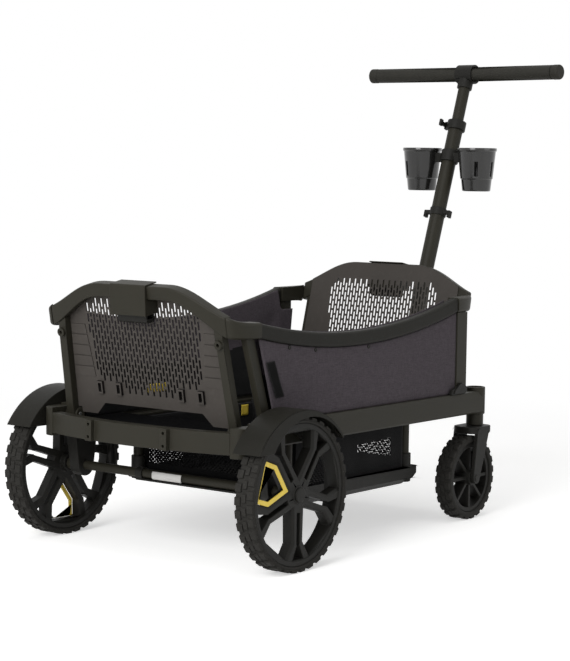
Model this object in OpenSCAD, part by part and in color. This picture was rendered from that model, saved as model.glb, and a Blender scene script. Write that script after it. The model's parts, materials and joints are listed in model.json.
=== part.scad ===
/* [Chassis] */
// Width over the chassis rails
chassis_w = 530; // [516:1:548]
// Height of the chassis rail tops above the floor
rail_top = 284; // [276:1:292]
// Height of a chassis rail
rail_h = 48; // [44:1:54]
// Thickness of a chassis rail
rail_t = 32; // [30:1:36]
// Drop from a rail's top to the crease along its outer face
rail_crease = 16; // [8:1:22]
// Inward slope of the rail above the crease
rail_slope = 6; // [2:1:8]
// Width of the ledge inside a rail
ledge_w = 17; // [12:1:20]
// Thickness of the ledge inside a rail
ledge_t = 6; // [4:1:8]
// Height of the ledge above the rail's bottom
ledge_rise = 4; // [2:1:6]
// Distance from the rear axle to the caster stems
wheelbase = 750; // [730:1:790]
// Distance from the rear axle back to the corner castings
tail = 105; // [98:1:118]
// Length of a rear corner casting
casting_l = 53; // [46:1:58]
// Height of a rear corner casting
casting_h = 58; // [52:1:62]
// Radius of a casting's outer corner
casting_r = 26; // [10:1:30]
// Height of the rear beam
beam_h = 42; // [38:1:46]
// Thickness of the rear beam
beam_t = 25; // [18:1:30]
// Rearward bow of the rear beam
beam_bow = 33; // [20:1:38]
// Distance between the drilled pads on the rear beam
pad_spacing = 196; // [160:1:230]
// Width of a drilled pad
pad_w = 17; // [14:1:24]
// Thickness of a drilled pad
pad_t = 5; // [3:1:8]
// Distance between the holes of a pad
pad_hole_spacing = 25; // [20:1:28]
// Diameter of a pad's holes
pad_hole_d = 6; // [4:0.5:8]
// Height of a cross member
cross_h = 14; // [10:1:16]
// Width of a cross member
cross_w = 30; // [26:1:34]
// Depth of the front beam
front_beam_w = 36; // [30:1:40]
// Height of the front beam
front_beam_h = 38; // [32:1:42]
// Thickness of a seat board
board_t = 6; // [4:1:8]

/* [Rear wheels] */
// Diameter of a rear wheel
rear_wheel_d = 300; // [290:1:312]
// Width of a rear tyre
rear_tyre_w = 45; // [42:1:50]
// Gap between a chassis rail and a rear tyre
wheel_gap = 15; // [11:1:22]
// Diameter of the rear rim under the tyre
rear_rim_d = 270; // [262:1:276]
// Thickness of the rim's barrel
rim_wall = 7; // [5:1:9]
// Thickness of the spoke plate
spoke_t = 24; // [18:1:28]
// Diameter of the rear hubs
rear_hub_d = 36; // [32:1:44]
// Number of large windows in a rear rim
window_count = 5; // [5:1:5]
// Distance from the hub's middle to a window's tip
window_tip = 33; // [31:1:38]
// Distance from the hub's middle to a window's shoulders
window_shoulder = 85; // [76:1:92]
// Width of a window
window_w = 80; // [70:1:84]
// Depth of the bevel round a window
window_bevel = 5; // [2:1:7]
// Distance from the hub's middle to the tip of a small window
small_tip = 90; // [86:1:98]
// Width of a small window at the rim
small_w = 36; // [26:1:40]
// Number of tread lugs round a rear tyre
rear_lugs = 36; // [28:1:44]
// Height of a tread lug
lug_h = 4; // [2:0.5:6]
// Width of an axle leg at the chassis rail
axle_leg_w = 68; // [56:1:80]
// Wall of an axle leg round the axle
axle_leg_wall = 13; // [9:1:16]
// Diameter of the axle's spindle in the hub
spindle_d = 16; // [12:1:18]
// Diameter of the axle tube
axle_d = 19; // [18:1:24]
// Radial gap between a wheel and the shaft it turns on
run_gap = 0.05; // [0.02:0.01:0.1]
// Width of the coloured trim in one window
trim_w = 9; // [6:1:12]
// Thickness of the coloured trim
trim_t = 10; // [6:1:12]
// Direction of the trimmed window on the left wheel
trim_left = 270; // [0:1:360]
// Direction of the trimmed window on the right wheel
trim_right = 162; // [0:1:360]

/* [Fenders] */
// Gap between a rear tyre and its fender
fender_gap = 10; // [8:1:16]
// Thickness of a fender
fender_t = 4; // [3:0.5:6]
// Reach of a fender past the tyre's outer side
fender_over = 6; // [5.5:0.5:9]
// Depth of the lip along a fender's outer edge, behind the crown
fender_lip = 26; // [18:1:30]
// Forward shift of the lip's lower edge, which fades the lip out ahead of the crown
lip_fore = 20; // [12:1:24]
// Upward shift of the lip's lower edge
lip_up = 15; // [8:1:18]
// Depth of the flange that lies against the chassis rail
fender_flange = 40; // [24:1:48]
// Rear end of a fender, in degrees from straight ahead
fender_back = 149; // [142:1:154]
// Front end of a fender, in degrees from straight ahead
fender_front = 38; // [32:1:50]
// Height above the axle of a fender's rear tip
fender_tip = 89; // [85:1:100]

/* [Casters] */
// Setback of the caster stems from the chassis rails' outer faces
stem_inset = 23; // [18:1:30]
// Diameter of a caster's head tube
head_d = 44; // [38:1:48]
// Rise of the head tubes above the rail tops
head_rise = 8; // [4:1:14]
// Diameter of the neck under a head tube
neck_d = 38; // [32:1:42]
// Diameter of a caster's swivel stem
stem_d = 16; // [12:1:20]
// Diameter of a caster wheel
caster_d = 187; // [178:1:190]
// Width of a caster tyre
caster_tyre_w = 38; // [32:1:42]
// Diameter of a caster rim under the tyre
caster_rim_d = 148; // [138:1:154]
// Trail of a caster's axle behind its stem
caster_trail = 37; // [28:1:42]
// Thickness of a caster's fork crown
crown_t = 15; // [12:1:17]
// Length of a caster's fork crown
crown_l = 78; // [66:1:84]
// Gap between a caster tyre and its fork
fork_gap = 4; // [3:0.5:7]
// Thickness of a fork leg
leg_t = 9; // [7:1:12]
// Diameter of a caster's axle
caster_axle_d = 10; // [8:1:12]
// Diameter of a caster's hub
caster_hub_d = 34; // [28:1:40]
// Number of spokes in a caster rim
caster_spokes = 8; // [6:1:10]
// Width of a caster spoke
caster_spoke_w = 7; // [5:0.5:10]
// Number of tread lugs round a caster tyre
caster_lugs = 24; // [18:1:30]

/* [Side walls] */
// Setback of the side walls from the chassis rails' outer faces
side_inset = 9; // [8:1:11]
// Thickness of a side wall's top rail
side_rail_w = 24; // [20:1:25]
// Height of a side wall's top rail
side_rail_h = 30; // [24:1:36]
// Height above the floor of a side rail's lowest top edge
side_low = 444; // [430:1:460]
// Distance ahead of the rear axle of a side rail's lowest point
side_low_x = 270; // [220:1:330]
// Radius of a side rail's sweep
side_sweep = 1470; // [1350:10:1700]
// Rounding of a side rail's section
side_round = 7; // [3:1:9]
// Width of a front side post
front_post_w = 40; // [30:1:46]
// Width of a rear side post
rear_post_w = 26; // [18:1:32]
// Reach of a rear side post's foot ahead of the rear axle
rear_post_fore = 10; // [0:1:16]
// Rearward lean of a rear side post at its top
rear_post_lean = 57; // [40:1:60]
// Thickness of a rear side post
rear_post_t = 14; // [12:1:18]
// Thickness of a front side post
front_post_t = 20; // [16:1:22]
// Setback of the side fabric from the side rails' outer faces
fabric_inset = 4; // [3:0.5:6]
// Thickness of the side fabric
fabric_t = 5; // [3:0.5:6]
// Setback of the rear corner caps from the castings' rear faces
rear_cap_set = 5; // [0:1:12]
// Length of a rear corner cap
rear_cap_l = 58; // [52:1:66]
// Reach of the front corner caps past the front wall's hinge
front_cap_reach = 37; // [30:1:44]
// Length of a front corner cap
front_cap_l = 76; // [70:1:84]
// Height of a rear corner cap at its outer end
rear_cap_h = 40; // [34:1:46]
// Height of a front corner cap at its outer end
front_cap_h = 45; // [38:1:50]
// Rise of a rear corner cap's underside towards its outer end
rear_cap_lift = 10; // [0:1:14]
// Rise of a front corner cap's underside towards its outer end
front_cap_lift = 2; // [0:1:6]

/* [End walls] */
// Distance from the rear axle back to the rear wall's hinge
rear_wall_x = 58; // [54:1:62]
// Distance from the caster stems back to the front wall's hinge
front_wall_gap = 60; // [56:1:66]
// Drop of the walls' hinges below the rail tops
hinge_drop = 18; // [16:1:20]
// Outward lean of the end walls
wall_lean = 11; // [8:0.5:13]
// Height of the rear wall along its slope
wall_h = 284; // [270:1:300]
// Extra height of the front wall
front_rise = 13; // [0:1:20]
// Gap between an end wall and the chassis rails
wall_gap = 6; // [5:0.5:8]
// Rise of an end wall's rail from its ends to its middle
arch_rise = 63; // [50:1:72]
// Level share of the rail's half width
arch_share = 0.375; // [0.33:0.005:0.44]
// Run of the rail's slope past its ends
arch_fade = 43; // [34:1:60]
// Height of the rail in its middle
band_h = 27; // [25:1:29]
// Extra height of the rail at its ends
band_grow = 16; // [8:1:20]
// Outward depth of the rail at its ends
rail_depth = 15; // [14:1:18]
// Outward bow of the rail at its middle
rail_bow = 9; // [4:1:10]
// Thickness of an end wall's panel
panel_t = 5; // [4:0.5:6]
// Distance of the panel's outer face inside the hinge line
panel_back = 3; // [2.5:0.5:4]
// Width of an end wall's post
wall_post_w = 20; // [16:1:22]
// Inward lean of a post between its foot and its top
wall_post_lean = 10; // [4:1:14]
// Outward depth of a post
wall_post_d = 13; // [12:1:14]
// Outer radius of a hinge eye
eye_r = 13; // [11:0.5:13.5]
// Diameter of a hinge pin
pin_d = 8; // [6:0.5:10]
// Thickness of a hinge ear
ear_t = 5; // [4:0.5:6]
// Gap beside a hinge eye
ear_gap = 1; // [0.5:0.1:1.5]
// Height of the accessory sockets along a post
socket_h = 176; // [150:1:180]
// Diameter of an accessory socket's boss
socket_boss_d = 18; // [15:1:20]
// Outward reach of an accessory socket's boss
socket_out = 7; // [4:1:10]
// Diameter of an accessory socket's hole
socket_d = 7; // [5:0.5:9]
// Depth of an accessory socket's hole
socket_depth = 16; // [10:1:17]

/* [Grille] */
// Width of a grille slot
slot_w = 4.2; // [3:0.1:5]
// Height of a grille slot
slot_h = 17; // [12:0.5:18]
// Distance between columns of slots
slot_dx = 8; // [7:0.5:11]
// Distance between slots along a column
slot_dz = 22; // [20:0.5:26]
// Width of the panel's shoulder beside the grille's foot
shoulder_foot = 71; // [56:1:90]
// Width of the panel's shoulder beside the grille's top
shoulder_top = 44; // [36:1:60]
// Height of the grille's lowest slots
grille_low = 52; // [46:1:64]
// Rise of the grille's lower edge towards its sides
grille_dip = 29; // [10:1:40]
// Width of the grille's rising lower corners
grille_corner = 66; // [40:1:80]
// Height of the arch under the panel
panel_arch_h = 24; // [14:1:30]
// Width of the panel's foot beside the arch
panel_leg = 42; // [34:1:60]
// Height of the strap loops
loop_z = 62; // [58:1:72]
// Distance of the outer strap loops inside the grille's foot
loop_edge = 1; // [0:1:8]
// Distance between neighbouring strap loops
loop_pitch = 50; // [40:1:60]
// Number of grooves in each shoulder of the panel
groove_count = 7; // [3:1:8]

/* [Latches] */
// Width of a latch box
box_w = 92; // [80:1:104]
// Height of a latch box
box_h = 60; // [54:1:66]
// Outward reach of a latch box at its foot
box_reach = 36; // [34:1:42]
// Wall thickness of a latch box
box_wall = 3.5; // [2.5:0.5:4]
// Height of a latch paddle below its box
paddle_drop = 18; // [14:1:22]
// Width of a latch paddle
paddle_w = 76; // [60:1:78]
// Travel of a latch paddle
paddle_travel = 8; // [5:0.5:9]
// Gap round a latch paddle
paddle_gap = 0.4; // [0.3:0.05:0.6]

/* [Handle] */
// Distance from the caster stems forward to the handle's pivot
pivot_ahead = 59; // [54:1:70]
// Drop of the handle's pivot below the rail tops
pivot_drop = 26; // [22:1:30]
// Forward lean of the handle
handle_lean = 19.4; // [14:0.2:26]
// Diameter of the lower tube
lower_d = 35; // [33:0.5:38]
// Diameter of the upper tube
upper_d = 28; // [25:0.5:29]
// Radial gap between the two tubes
tube_gap = 0.3; // [0.2:0.05:0.5]
// Distance from the pivot to the lower tube's top
lower_l = 658; // [630:1:690]
// Length from the lower tube's top to the cross bar
upper_out = 132; // [128:1:180]
// Length of the upper tube inside the lower tube
upper_in = 158; // [140:1:190]
// Diameter of the handle's pivot pin
pivot_d = 10; // [8:0.5:12]
// Height of the clamp collar
collar_h = 22; // [20:1:28]
// Wall of the clamp collar
collar_t = 5; // [4:0.5:7]
// Length of the clamp lever
lever_l = 26; // [20:1:40]
// Distance from the lower tube's top down to the storage hooks
hook_drop = 218; // [170:1:260]
// Reach of the storage hooks to each side
hook_reach = 36; // [30:1:42]
// Length of the cross bar
bar_l = 536; // [500:1:600]
// Diameter of the cross bar
bar_d = 34; // [30:1:38]
// Backward sweep of each half of the bar, in degrees
bar_sweep = 4; // [0:0.5:8]
// Length of a bar's end cap
bar_cap_l = 22; // [16:1:30]
// Radius of the hub that holds the bar
hub_r = 23; // [21:0.5:26]
// Width of the hub that holds the bar
hub_w = 46; // [40:1:56]

/* [Cups] */
// Diameter of a cup's rim
cup_rim_d = 91; // [84:1:96]
// Diameter of a cup's foot
cup_foot_d = 71; // [62:1:76]
// Height of a cup
cup_h = 102; // [90:1:112]
// Wall thickness of a cup
cup_wall = 2.5; // [2:0.5:3.5]
// Distance from the handle's middle to a cup's middle
cup_side = 77; // [74:1:84]
// Distance along the handle from the lower tube's top down to the cup rims
cup_drop = 56; // [44:1:80]
// Step between a cup's foot and its outer sleeve
cup_step = 2; // [1:0.5:3]
// Height of the clamp that holds the cups
clamp_h = 28; // [24:1:34]

/* [Brake and footwell] */
// Length of the brake's foot bar
brake_l = 310; // [260:1:330]
// Width of the foot bar
brake_w = 18; // [14:1:24]
// Thickness of the foot bar
brake_t = 4; // [3:0.5:6]
// Width of the collars that carry the foot bar
brake_collar_w = 18; // [12:1:26]
// Distance from the rear axle to the footwell's rear end
well_back = 100; // [90:1:120]
// Length of the footwell
well_l = 463; // [430:1:480]
// Gap between the footwell and the rails' ledges
well_gap = 3; // [2:0.5:8]
// Height of the footwell's tray bottom above the floor
well_low = 96; // [88:1:104]
// Height of the tray's walls
tray_h = 38; // [30:1:44]
// Wall thickness of the tray
tray_t = 4; // [3:0.5:5]
// Distance of the tray's rear face ahead of the footwell's rear end
tray_in = 14; // [8:1:18]
// Length of the slope under the tray's rear end
rear_slope_l = 66; // [50:1:80]
// Height of the slope under the tray's rear end
rear_slope_h = 16; // [10:1:20]
// Length of the slope under the tray's front end
front_slope_l = 32; // [20:1:44]
// Height of the slope under the tray's front end
front_slope_h = 21; // [12:1:26]
// Chamfer along the tray's lower side edges
tray_side = 12; // [6:1:16]
// Height of the corner sleeves
sleeve_h = 66; // [60:1:70]
// Diameter of the footwell's posts
post_d = 21; // [18:1:22]
// Wall round a post in its sleeve
sleeve_wall = 4; // [3:0.5:5]
// Radial gap between a post and its sleeve
sleeve_gap = 0.3; // [0.2:0.05:0.5]
// Length of a post inside its sleeve
post_in = 32; // [24:1:40]
// Thickness of the footwell's fabric
well_fabric = 2.5; // [2:0.5:4]

/* [Hidden] */
$fn = 64;
rest_gap = 0.3;
chamfer = 4;

rail_out = chassis_w / 2;
rail_in = rail_out - rail_t;
rear_track = chassis_w + 2 * wheel_gap + rear_tyre_w;
rail_bottom = rail_top - rail_h;
rail_back = casting_l - tail;
ledge_top = rail_bottom + ledge_rise + ledge_t;
axle_z = rear_wheel_d / 2;
hinge_z = rail_top - hinge_drop;
rear_hinge_x = -rear_wall_x;
front_hinge_x = wheelbase - front_wall_gap;
wall_half = rail_in - wall_gap;
ear_z0 = rail_bottom + cross_h;

stem_y = rail_out - stem_inset;
head_top = rail_top + head_rise;
caster_z = caster_d / 2;
fork_in = caster_tyre_w / 2 + fork_gap;
fork_out = fork_in + leg_t;
crown_z = caster_d + fork_gap;
neck_z = crown_z + crown_t + 1;

side_out = rail_out - side_inset;
side_in = side_out - side_rail_w;
side_mid = (side_in + side_out) / 2;
rear_cap_x = rear_cap_set - tail;
front_cap_x = front_hinge_x + front_cap_reach;
rear_cap_in = rear_cap_x + rear_cap_l;
front_cap_in = front_cap_x - front_cap_l;
cap_in = wall_half + 1;
cap_out = side_out + 2;
side_post_in = wall_half + 2;

pivot_x = wheelbase + pivot_ahead;
pivot_z = rail_top - pivot_drop;
handle_l = lower_l + upper_out;
hook_at = lower_l - hook_drop;
bar_x = pivot_x + handle_l * sin(handle_lean);
bar_z = pivot_z + handle_l * cos(handle_lean);
lower_bore = upper_d / 2 + tube_gap;
upper_top = handle_l - bar_d / 2 - 1.5;
cup_top = pivot_z + (lower_l - cup_drop) * cos(handle_lean);

beam_face = -(tail + beam_bow);
front_reach = bar_x + hub_r;
rear_reach = max(axle_z, pad_t - beam_face);
x_mid = (front_reach - rear_reach) / 2;

well_w = 2 * (rail_in - ledge_w - well_gap);
post_x = [well_back + 19, well_back + well_l - 28];
post_y = well_w / 2 - sleeve_wall - sleeve_gap - post_d / 2;
sleeve_r = post_d / 2 + sleeve_gap;

frame_grey = [0.17, 0.165, 0.15];
moulded_grey = [0.13, 0.13, 0.125];
panel_brown = [0.21, 0.19, 0.18];
tyre_black = [0.09, 0.09, 0.085];
cloth_grey = [0.24, 0.215, 0.24];
trim_yellow = [0.93, 0.78, 0.2];
steel_grey = [0.55, 0.55, 0.55];

function arc(cx, cy, r, a0, a1, n) =
    [for (i = [0:n]) let (a = a0 + (a1 - a0) * i / n) [cx + r * cos(a), cy + r * sin(a)]];
function round_rect(w, h, r, n = 5) = concat(
    arc(w / 2 - r, h / 2 - r, r, 0, 90, n), arc(r - w / 2, h / 2 - r, r, 90, 180, n),
    arc(r - w / 2, r - h / 2, r, 180, 270, n), arc(w / 2 - r, r - h / 2, r, 270, 360, n));
function turned(p, a) = [for (q = p) [q.x * cos(a) - q.y * sin(a), q.x * sin(a) + q.y * cos(a)]];
function scaled(p, k) = [for (q = p) q * k];

// The model's own frame: the middle of its length over the floor
module in_frame() translate([-x_mid, 0, 0]) children();
module both_sides() {
    children();
    mirror([0, 1, 0]) children();
}
module on_side(s) mirror([0, s < 0 ? 1 : 0, 0]) children();
// A flat shape drawn in x and z, filling y0 to y1
module side_on(y0, y1) translate([0, y1, 0]) rotate([90, 0, 0]) linear_extrude(y1 - y0) children();
// A flat shape drawn in y and z, filling x0 to x1
module end_on(x0, x1) translate([x0, 0, 0]) rotate([90, 0, 90]) linear_extrude(x1 - x0) children();
// A round bar along y
module cross_bar(y0, y1, r) translate([0, y0, 0]) rotate([-90, 0, 0]) cylinder(h = y1 - y0, r = r);

// Chassis

module rail_section() polygon([
    [rail_in, rail_bottom], [rail_out - chamfer, rail_bottom], [rail_out, rail_bottom + chamfer],
    [rail_out, rail_top - rail_crease], [rail_out - rail_slope, rail_top], [rail_in, rail_top]
]);
module ledge_section() translate([rail_in - ledge_w, rail_bottom + ledge_rise]) square([ledge_w + 1, ledge_t]);
module head_space() both_sides() translate([wheelbase, stem_y, 0]) cylinder(h = 2 * head_top, r = head_d / 2);

module chassis_rails() color(frame_grey) in_frame() both_sides() difference() {
    union() {
        end_on(rail_back, wheelbase) rail_section();
        end_on(rear_hinge_x + cross_w / 2, front_hinge_x - cross_w / 2) ledge_section();
    }
    head_space();
}

module rear_castings() color(frame_grey) in_frame() both_sides()
    translate([0, 0, rail_top - casting_h - chamfer]) linear_extrude(casting_h) polygon(concat(
        [[-tail, rail_in], [rail_back, rail_in], [rail_back, rail_out]],
        arc(casting_r - tail, rail_out - casting_r, casting_r, 90, 180, 8)));

// The beam's plan is a ring segment that bows beam_bow over its half length
module rear_beam() color(frame_grey) in_frame() {
    bow_r = (rail_in * rail_in + beam_bow * beam_bow) / (2 * beam_bow);
    z0 = rail_top - casting_h - chamfer + 6;
    difference() {
        union() {
            intersection() {
                translate([beam_face + bow_r, 0, z0]) difference() {
                    cylinder(h = beam_h, r = bow_r, $fn = 128);
                    translate([0, 0, -1]) cylinder(h = beam_h + 2, r = bow_r - beam_t, $fn = 128);
                }
                translate([beam_face - 1, -rail_in, 0]) cube([2 * beam_bow + beam_t, 2 * rail_in, rail_top]);
            }
            both_sides() translate([beam_face - pad_t, (pad_spacing - pad_w) / 2, z0])
                cube([beam_t, pad_w, beam_h]);
        }
        both_sides() for (k = [-1, 1])
            translate([beam_face - pad_t - 1, pad_spacing / 2, z0 + beam_h / 2 + k * pad_hole_spacing / 2])
                rotate([0, 90, 0]) cylinder(h = beam_bow + 2 * beam_t, d = pad_hole_d);
    }
}

// Two ears each side of every hinge eye, standing on a cross tube
module hinge_ear(y0) side_on(y0, y0 + ear_t) difference() {
    union() {
        circle(r = eye_r - 1);
        translate([1 - eye_r, ear_z0 - hinge_z]) square([2 * eye_r - 2, hinge_z - ear_z0]);
    }
    circle(d = pin_d);
}
module cross_member(x) color(frame_grey) in_frame() {
    translate([x - cross_w / 2, -rail_in, rail_bottom]) cube([cross_w, 2 * rail_in, cross_h]);
    both_sides() translate([x, 0, hinge_z]) {
        hinge_ear(post_edge - ear_gap - ear_t);
        hinge_ear(wall_foot + wall_post_w / 2 + ear_gap);
    }
}
module rear_cross_member() cross_member(rear_hinge_x);
module front_cross_member() cross_member(front_hinge_x);

module wall_hinge_pins() color(steel_grey) in_frame() both_sides()
    for (x = [rear_hinge_x, front_hinge_x]) translate([x, 0, hinge_z])
        cross_bar(post_edge - ear_gap - ear_t, wall_foot + wall_post_w / 2 + ear_gap + ear_t,
            pin_d / 2);

module front_beam() color(frame_grey) in_frame() difference() {
    union() {
        translate([wheelbase - front_beam_w / 2, -stem_y, rail_top - chamfer - front_beam_h])
            cube([front_beam_w, 2 * stem_y, front_beam_h]);
        both_sides() side_on(lower_d / 2 + ear_gap, lower_d / 2 + ear_gap + 2 * ear_t) polygon(concat(
            [[wheelbase, pivot_z + 18], [wheelbase, pivot_z - 18]],
            arc(pivot_x, pivot_z, 16, -80, 80, 12)));
    }
    head_space();
    translate([pivot_x, 0, pivot_z]) cross_bar(-rail_in, rail_in, pivot_d / 2);
}
module handle_pin() color(steel_grey) in_frame() translate([pivot_x, 0, pivot_z]) {
    reach = lower_d / 2 + ear_gap + 2 * ear_t;
    cross_bar(-reach, reach, pivot_d / 2);
    both_sides() cross_bar(reach, reach + 4, pivot_d / 2 + 3);
}

module head_tubes() color(frame_grey) in_frame() both_sides() translate([wheelbase, stem_y, 0]) difference() {
    union() {
        translate([0, 0, rail_bottom - 4]) cylinder(h = head_top - rail_bottom + 4, r = head_d / 2);
        translate([0, 0, neck_z]) cylinder(h = rail_bottom - neck_z, r = neck_d / 2);
    }
    translate([0, 0, neck_z - 1]) cylinder(h = head_top, d = stem_d + 2 * run_gap);
    translate([0, 0, head_top - 3]) cylinder(h = 4, r = head_d / 2 - 5);
}

module axle_legs() color(moulded_grey) in_frame() both_sides() side_on(rail_in + 3, rail_out - 3) difference() {
    hull() {
        translate([-axle_leg_w / 2, rail_bottom - 6]) square([axle_leg_w, 6]);
        translate([0, axle_z]) circle(r = axle_d / 2 + axle_leg_wall, $fn = 32);
    }
    translate([0, axle_z]) circle(d = axle_d);
}
module rear_axle() color(frame_grey) in_frame() translate([0, 0, axle_z]) {
    hub_in = rear_track / 2 - rear_tyre_w / 2 + 2;
    cross_bar(3 - rail_out, rail_out - 3, axle_d / 2);
    both_sides() {
        cross_bar(rail_out - 3, hub_in - rest_gap, axle_d / 2 + 3);
        cross_bar(hub_in - rest_gap, rear_track / 2 + 12, spindle_d / 2);
    }
}

fender_r = axle_z + fender_gap;
fender_out = rear_track / 2 + rear_tyre_w / 2 + fender_over;
module fender_section() {
    r1 = fender_r + fender_t;
    polygon([
        [fender_r - fender_flange, rail_out], [r1, rail_out], [r1, fender_out - 1], [r1 - 1, fender_out],
        [fender_r, fender_out], [fender_r, rail_out + fender_t], [fender_r - fender_flange, rail_out + fender_t]
    ]);
}
// The lip outside the tyre, between the shell and a circle that is shifted forward
module fender_lip_shape() difference() {
    intersection() {
        circle(r = fender_r + fender_t / 2, $fn = 96);
        polygon([[0, 0], for (a = [fender_front, fender_back]) 2 * fender_r * [cos(a), sin(a)]]);
    }
    translate([lip_fore, lip_up]) circle(r = fender_r - fender_lip, $fn = 96);
}
// A turned shell with a lip and a level rear tip
module fenders() color(frame_grey) in_frame() both_sides() translate([0, 0, axle_z]) difference() {
    union() {
        rotate([90, -fender_front, 0]) mirror([0, 0, 1])
            rotate_extrude(angle = fender_back - fender_front, $fn = 96) fender_section();
        side_on(fender_out - fender_t, fender_out) fender_lip_shape();
    }
    translate([-2 * fender_r, rail_out - 1, 0]) cube([2 * fender_r, fender_out - rail_out + 2, fender_tip]);
}

module seat_boards() color(moulded_grey) in_frame() {
    half = rail_in - 0.5;
    x0 = rear_hinge_x + cross_w / 2 + 0.5;
    x1 = well_back + well_l;
    translate([x0, -half, ledge_top]) cube([well_back - x0, 2 * half, board_t]);
    translate([x1, -half, ledge_top]) cube([front_hinge_x - cross_w / 2 - 0.5 - x1, 2 * half, board_t]);
}

module footwell_posts() color(frame_grey) in_frame() both_sides() for (x = post_x) translate([x, post_y, 0]) {
    z0 = well_low + sleeve_h - post_in;
    z1 = rail_bottom + ledge_rise;
    translate([0, 0, z0]) cylinder(h = z1 - z0, d = post_d);
    translate([-post_d / 2 - 4, -post_d / 2, z1 - 4]) cube([post_d + 8, rail_in - post_y + post_d / 2, 4]);
}

// Side walls

// A sweep centre above the rail's lowest point; its section turns about it
module side_rail() color(frame_grey) in_frame() intersection() {
    translate([side_low_x, side_mid, side_low + side_sweep]) rotate([90, 0, 0]) rotate([0, 0, -125])
        rotate_extrude(angle = 70, $fn = 360) translate([side_sweep + side_rail_h / 2, 0])
            polygon(round_rect(side_rail_h, side_rail_w, side_round));
    translate([rear_cap_in, 0, rail_top]) cube([front_cap_in - rear_cap_in, rail_out, rail_top]);
}
module side_rail_left() side_rail();
module side_rail_right() mirror([0, 1, 0]) side_rail();

function sweep_z(x, drop) =
    side_low + side_sweep - sqrt(pow(side_sweep + drop, 2) - pow(x - side_low_x, 2));
rear_cap_z = sweep_z(rear_cap_in, side_rail_h);
front_cap_z = sweep_z(front_cap_in, side_rail_h);
function rear_cap_low(x) = rear_cap_z + rear_cap_lift * (rear_cap_in - x) / rear_cap_l;

// An elliptical corner whose top climbs in a curve towards the end wall
module corner_cap(x_in, x_end, z_low, z_top, lift, h) {
    run = x_end - x_in;
    wide = cap_out - cap_in;
    z_end = z_low + lift + h;
    n = 8;
    intersection() {
        translate([0, 0, z_low]) linear_extrude(2 * h) polygon(concat(
            [[x_in, cap_in]], [for (t = [0:6:90]) [x_in + run * cos(t), cap_in + wide * sin(t)]]));
        side_on(cap_in - 1, cap_out + 1) polygon(concat(
            [[x_in, z_low], [x_end, z_low + lift]],
            [for (i = [n:-1:0]) let (t = i / n) [x_in + run * t, z_top + (z_end - z_top) * t * t]]));
    }
}
module corner_caps() color(frame_grey) in_frame() both_sides() {
    corner_cap(rear_cap_in, rear_cap_x, rear_cap_z, sweep_z(rear_cap_in, 0), rear_cap_lift, rear_cap_h);
    corner_cap(front_cap_in, front_cap_x, front_cap_z, sweep_z(front_cap_in, 0), front_cap_lift, front_cap_h);
}

rear_post_foot = rear_post_fore - rear_post_w;
front_post_x = front_hinge_x + 2 - front_post_w;
module side_posts() color(frame_grey) in_frame() both_sides() {
    top = rear_post_foot - rear_post_lean;
    side_on(side_post_in, side_post_in + rear_post_t) polygon([
        [rear_post_foot, rail_top], [rear_post_fore, rail_top],
        [top + rear_post_w, rear_cap_low(top + rear_post_w)], [top, rear_cap_low(top)]
    ]);
    side_on(side_mid - front_post_t / 2, side_mid + front_post_t / 2)
        translate([front_post_x, rail_top]) square([front_post_w, front_cap_z - rail_top]);
}

// Fabric between the posts, from the chassis rail up to the side rail
module side_fabric() color(cloth_grey) in_frame() {
    y1 = side_out - fabric_inset;
    slope = rear_post_lean / (rear_cap_z - rail_top);
    x0 = rear_post_foot + rear_post_w + rest_gap;
    x1 = front_post_x - rest_gap;
    n = 24;
    xt = rear_cap_in + rest_gap;
    z_cap = min(rear_cap_z, (x0 - xt) / slope + rail_top);
    side_on(y1 - fabric_t, y1) polygon(concat(
        [[x1, rail_top + rest_gap], [x0, rail_top + rest_gap], [x0 - (z_cap - rail_top) * slope, z_cap - rest_gap]],
        [for (i = [0:n]) let (x = xt + (x1 - xt) * i / n)
            [x, min(sweep_z(x, side_rail_h), x > front_cap_in ? front_cap_z : rail_top * 2) - 2 * rest_gap]]));
}
module side_fabric_left() side_fabric();
module side_fabric_right() mirror([0, 1, 0]) side_fabric();

// End walls: drawn standing on the hinge line, x outward, then leaned and set in place

wall_foot = wall_half - wall_post_w / 2 - 3;
arch_flat = arch_share * wall_half;
post_edge = wall_foot - wall_post_w / 2;
grille_foot = post_edge - shoulder_foot;
grille_top = post_edge - shoulder_top;
grille_level = grille_foot - grille_corner;
loop_out = grille_foot - loop_edge;
loop_in = loop_out - loop_pitch;
function ease(y) = let (t = abs(y)) t <= arch_flat ? 1 :
    (1 + cos(180 * (t - arch_flat) / (wall_half + arch_fade - arch_flat))) / 2;
function edge_top(y, h) = h - arch_rise * (1 - ease(y));
function edge_low(y, h) = edge_top(y, h) - band_h - band_grow * (1 - ease(y));
function post_mid(w) = wall_foot - wall_post_lean * w / (wall_h - arch_rise - band_h);
function across(half, n) = [for (i = [0:n]) half * (2 * i / n - 1)];

module wall_at(front) in_frame() translate([front ? front_hinge_x : rear_hinge_x, 0, hinge_z])
    mirror([front ? 0 : 1, 0, 0]) rotate([0, wall_lean, 0]) children();
function height(front) = wall_h + (front ? front_rise : 0);

module wall_rail(front) color(frame_grey) wall_at(front) {
    h = height(front);
    n = 48;
    bow_r = (wall_half * wall_half + rail_bow * rail_bow) / (2 * rail_bow);
    intersection() {
        end_on(-panel_back, rail_depth + rail_bow + 5) polygon(concat(
            [for (y = across(wall_half, n)) [y, edge_top(y, h)]],
            [for (y = across(-wall_half, n)) [y, edge_low(y, h)]]));
        translate([rail_depth + rail_bow - bow_r, 0, 0]) cylinder(h = 2 * h, r = bow_r, $fn = 256);
    }
}
module rear_wall_rail() wall_rail(false);
module front_wall_rail() wall_rail(true);

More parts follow.
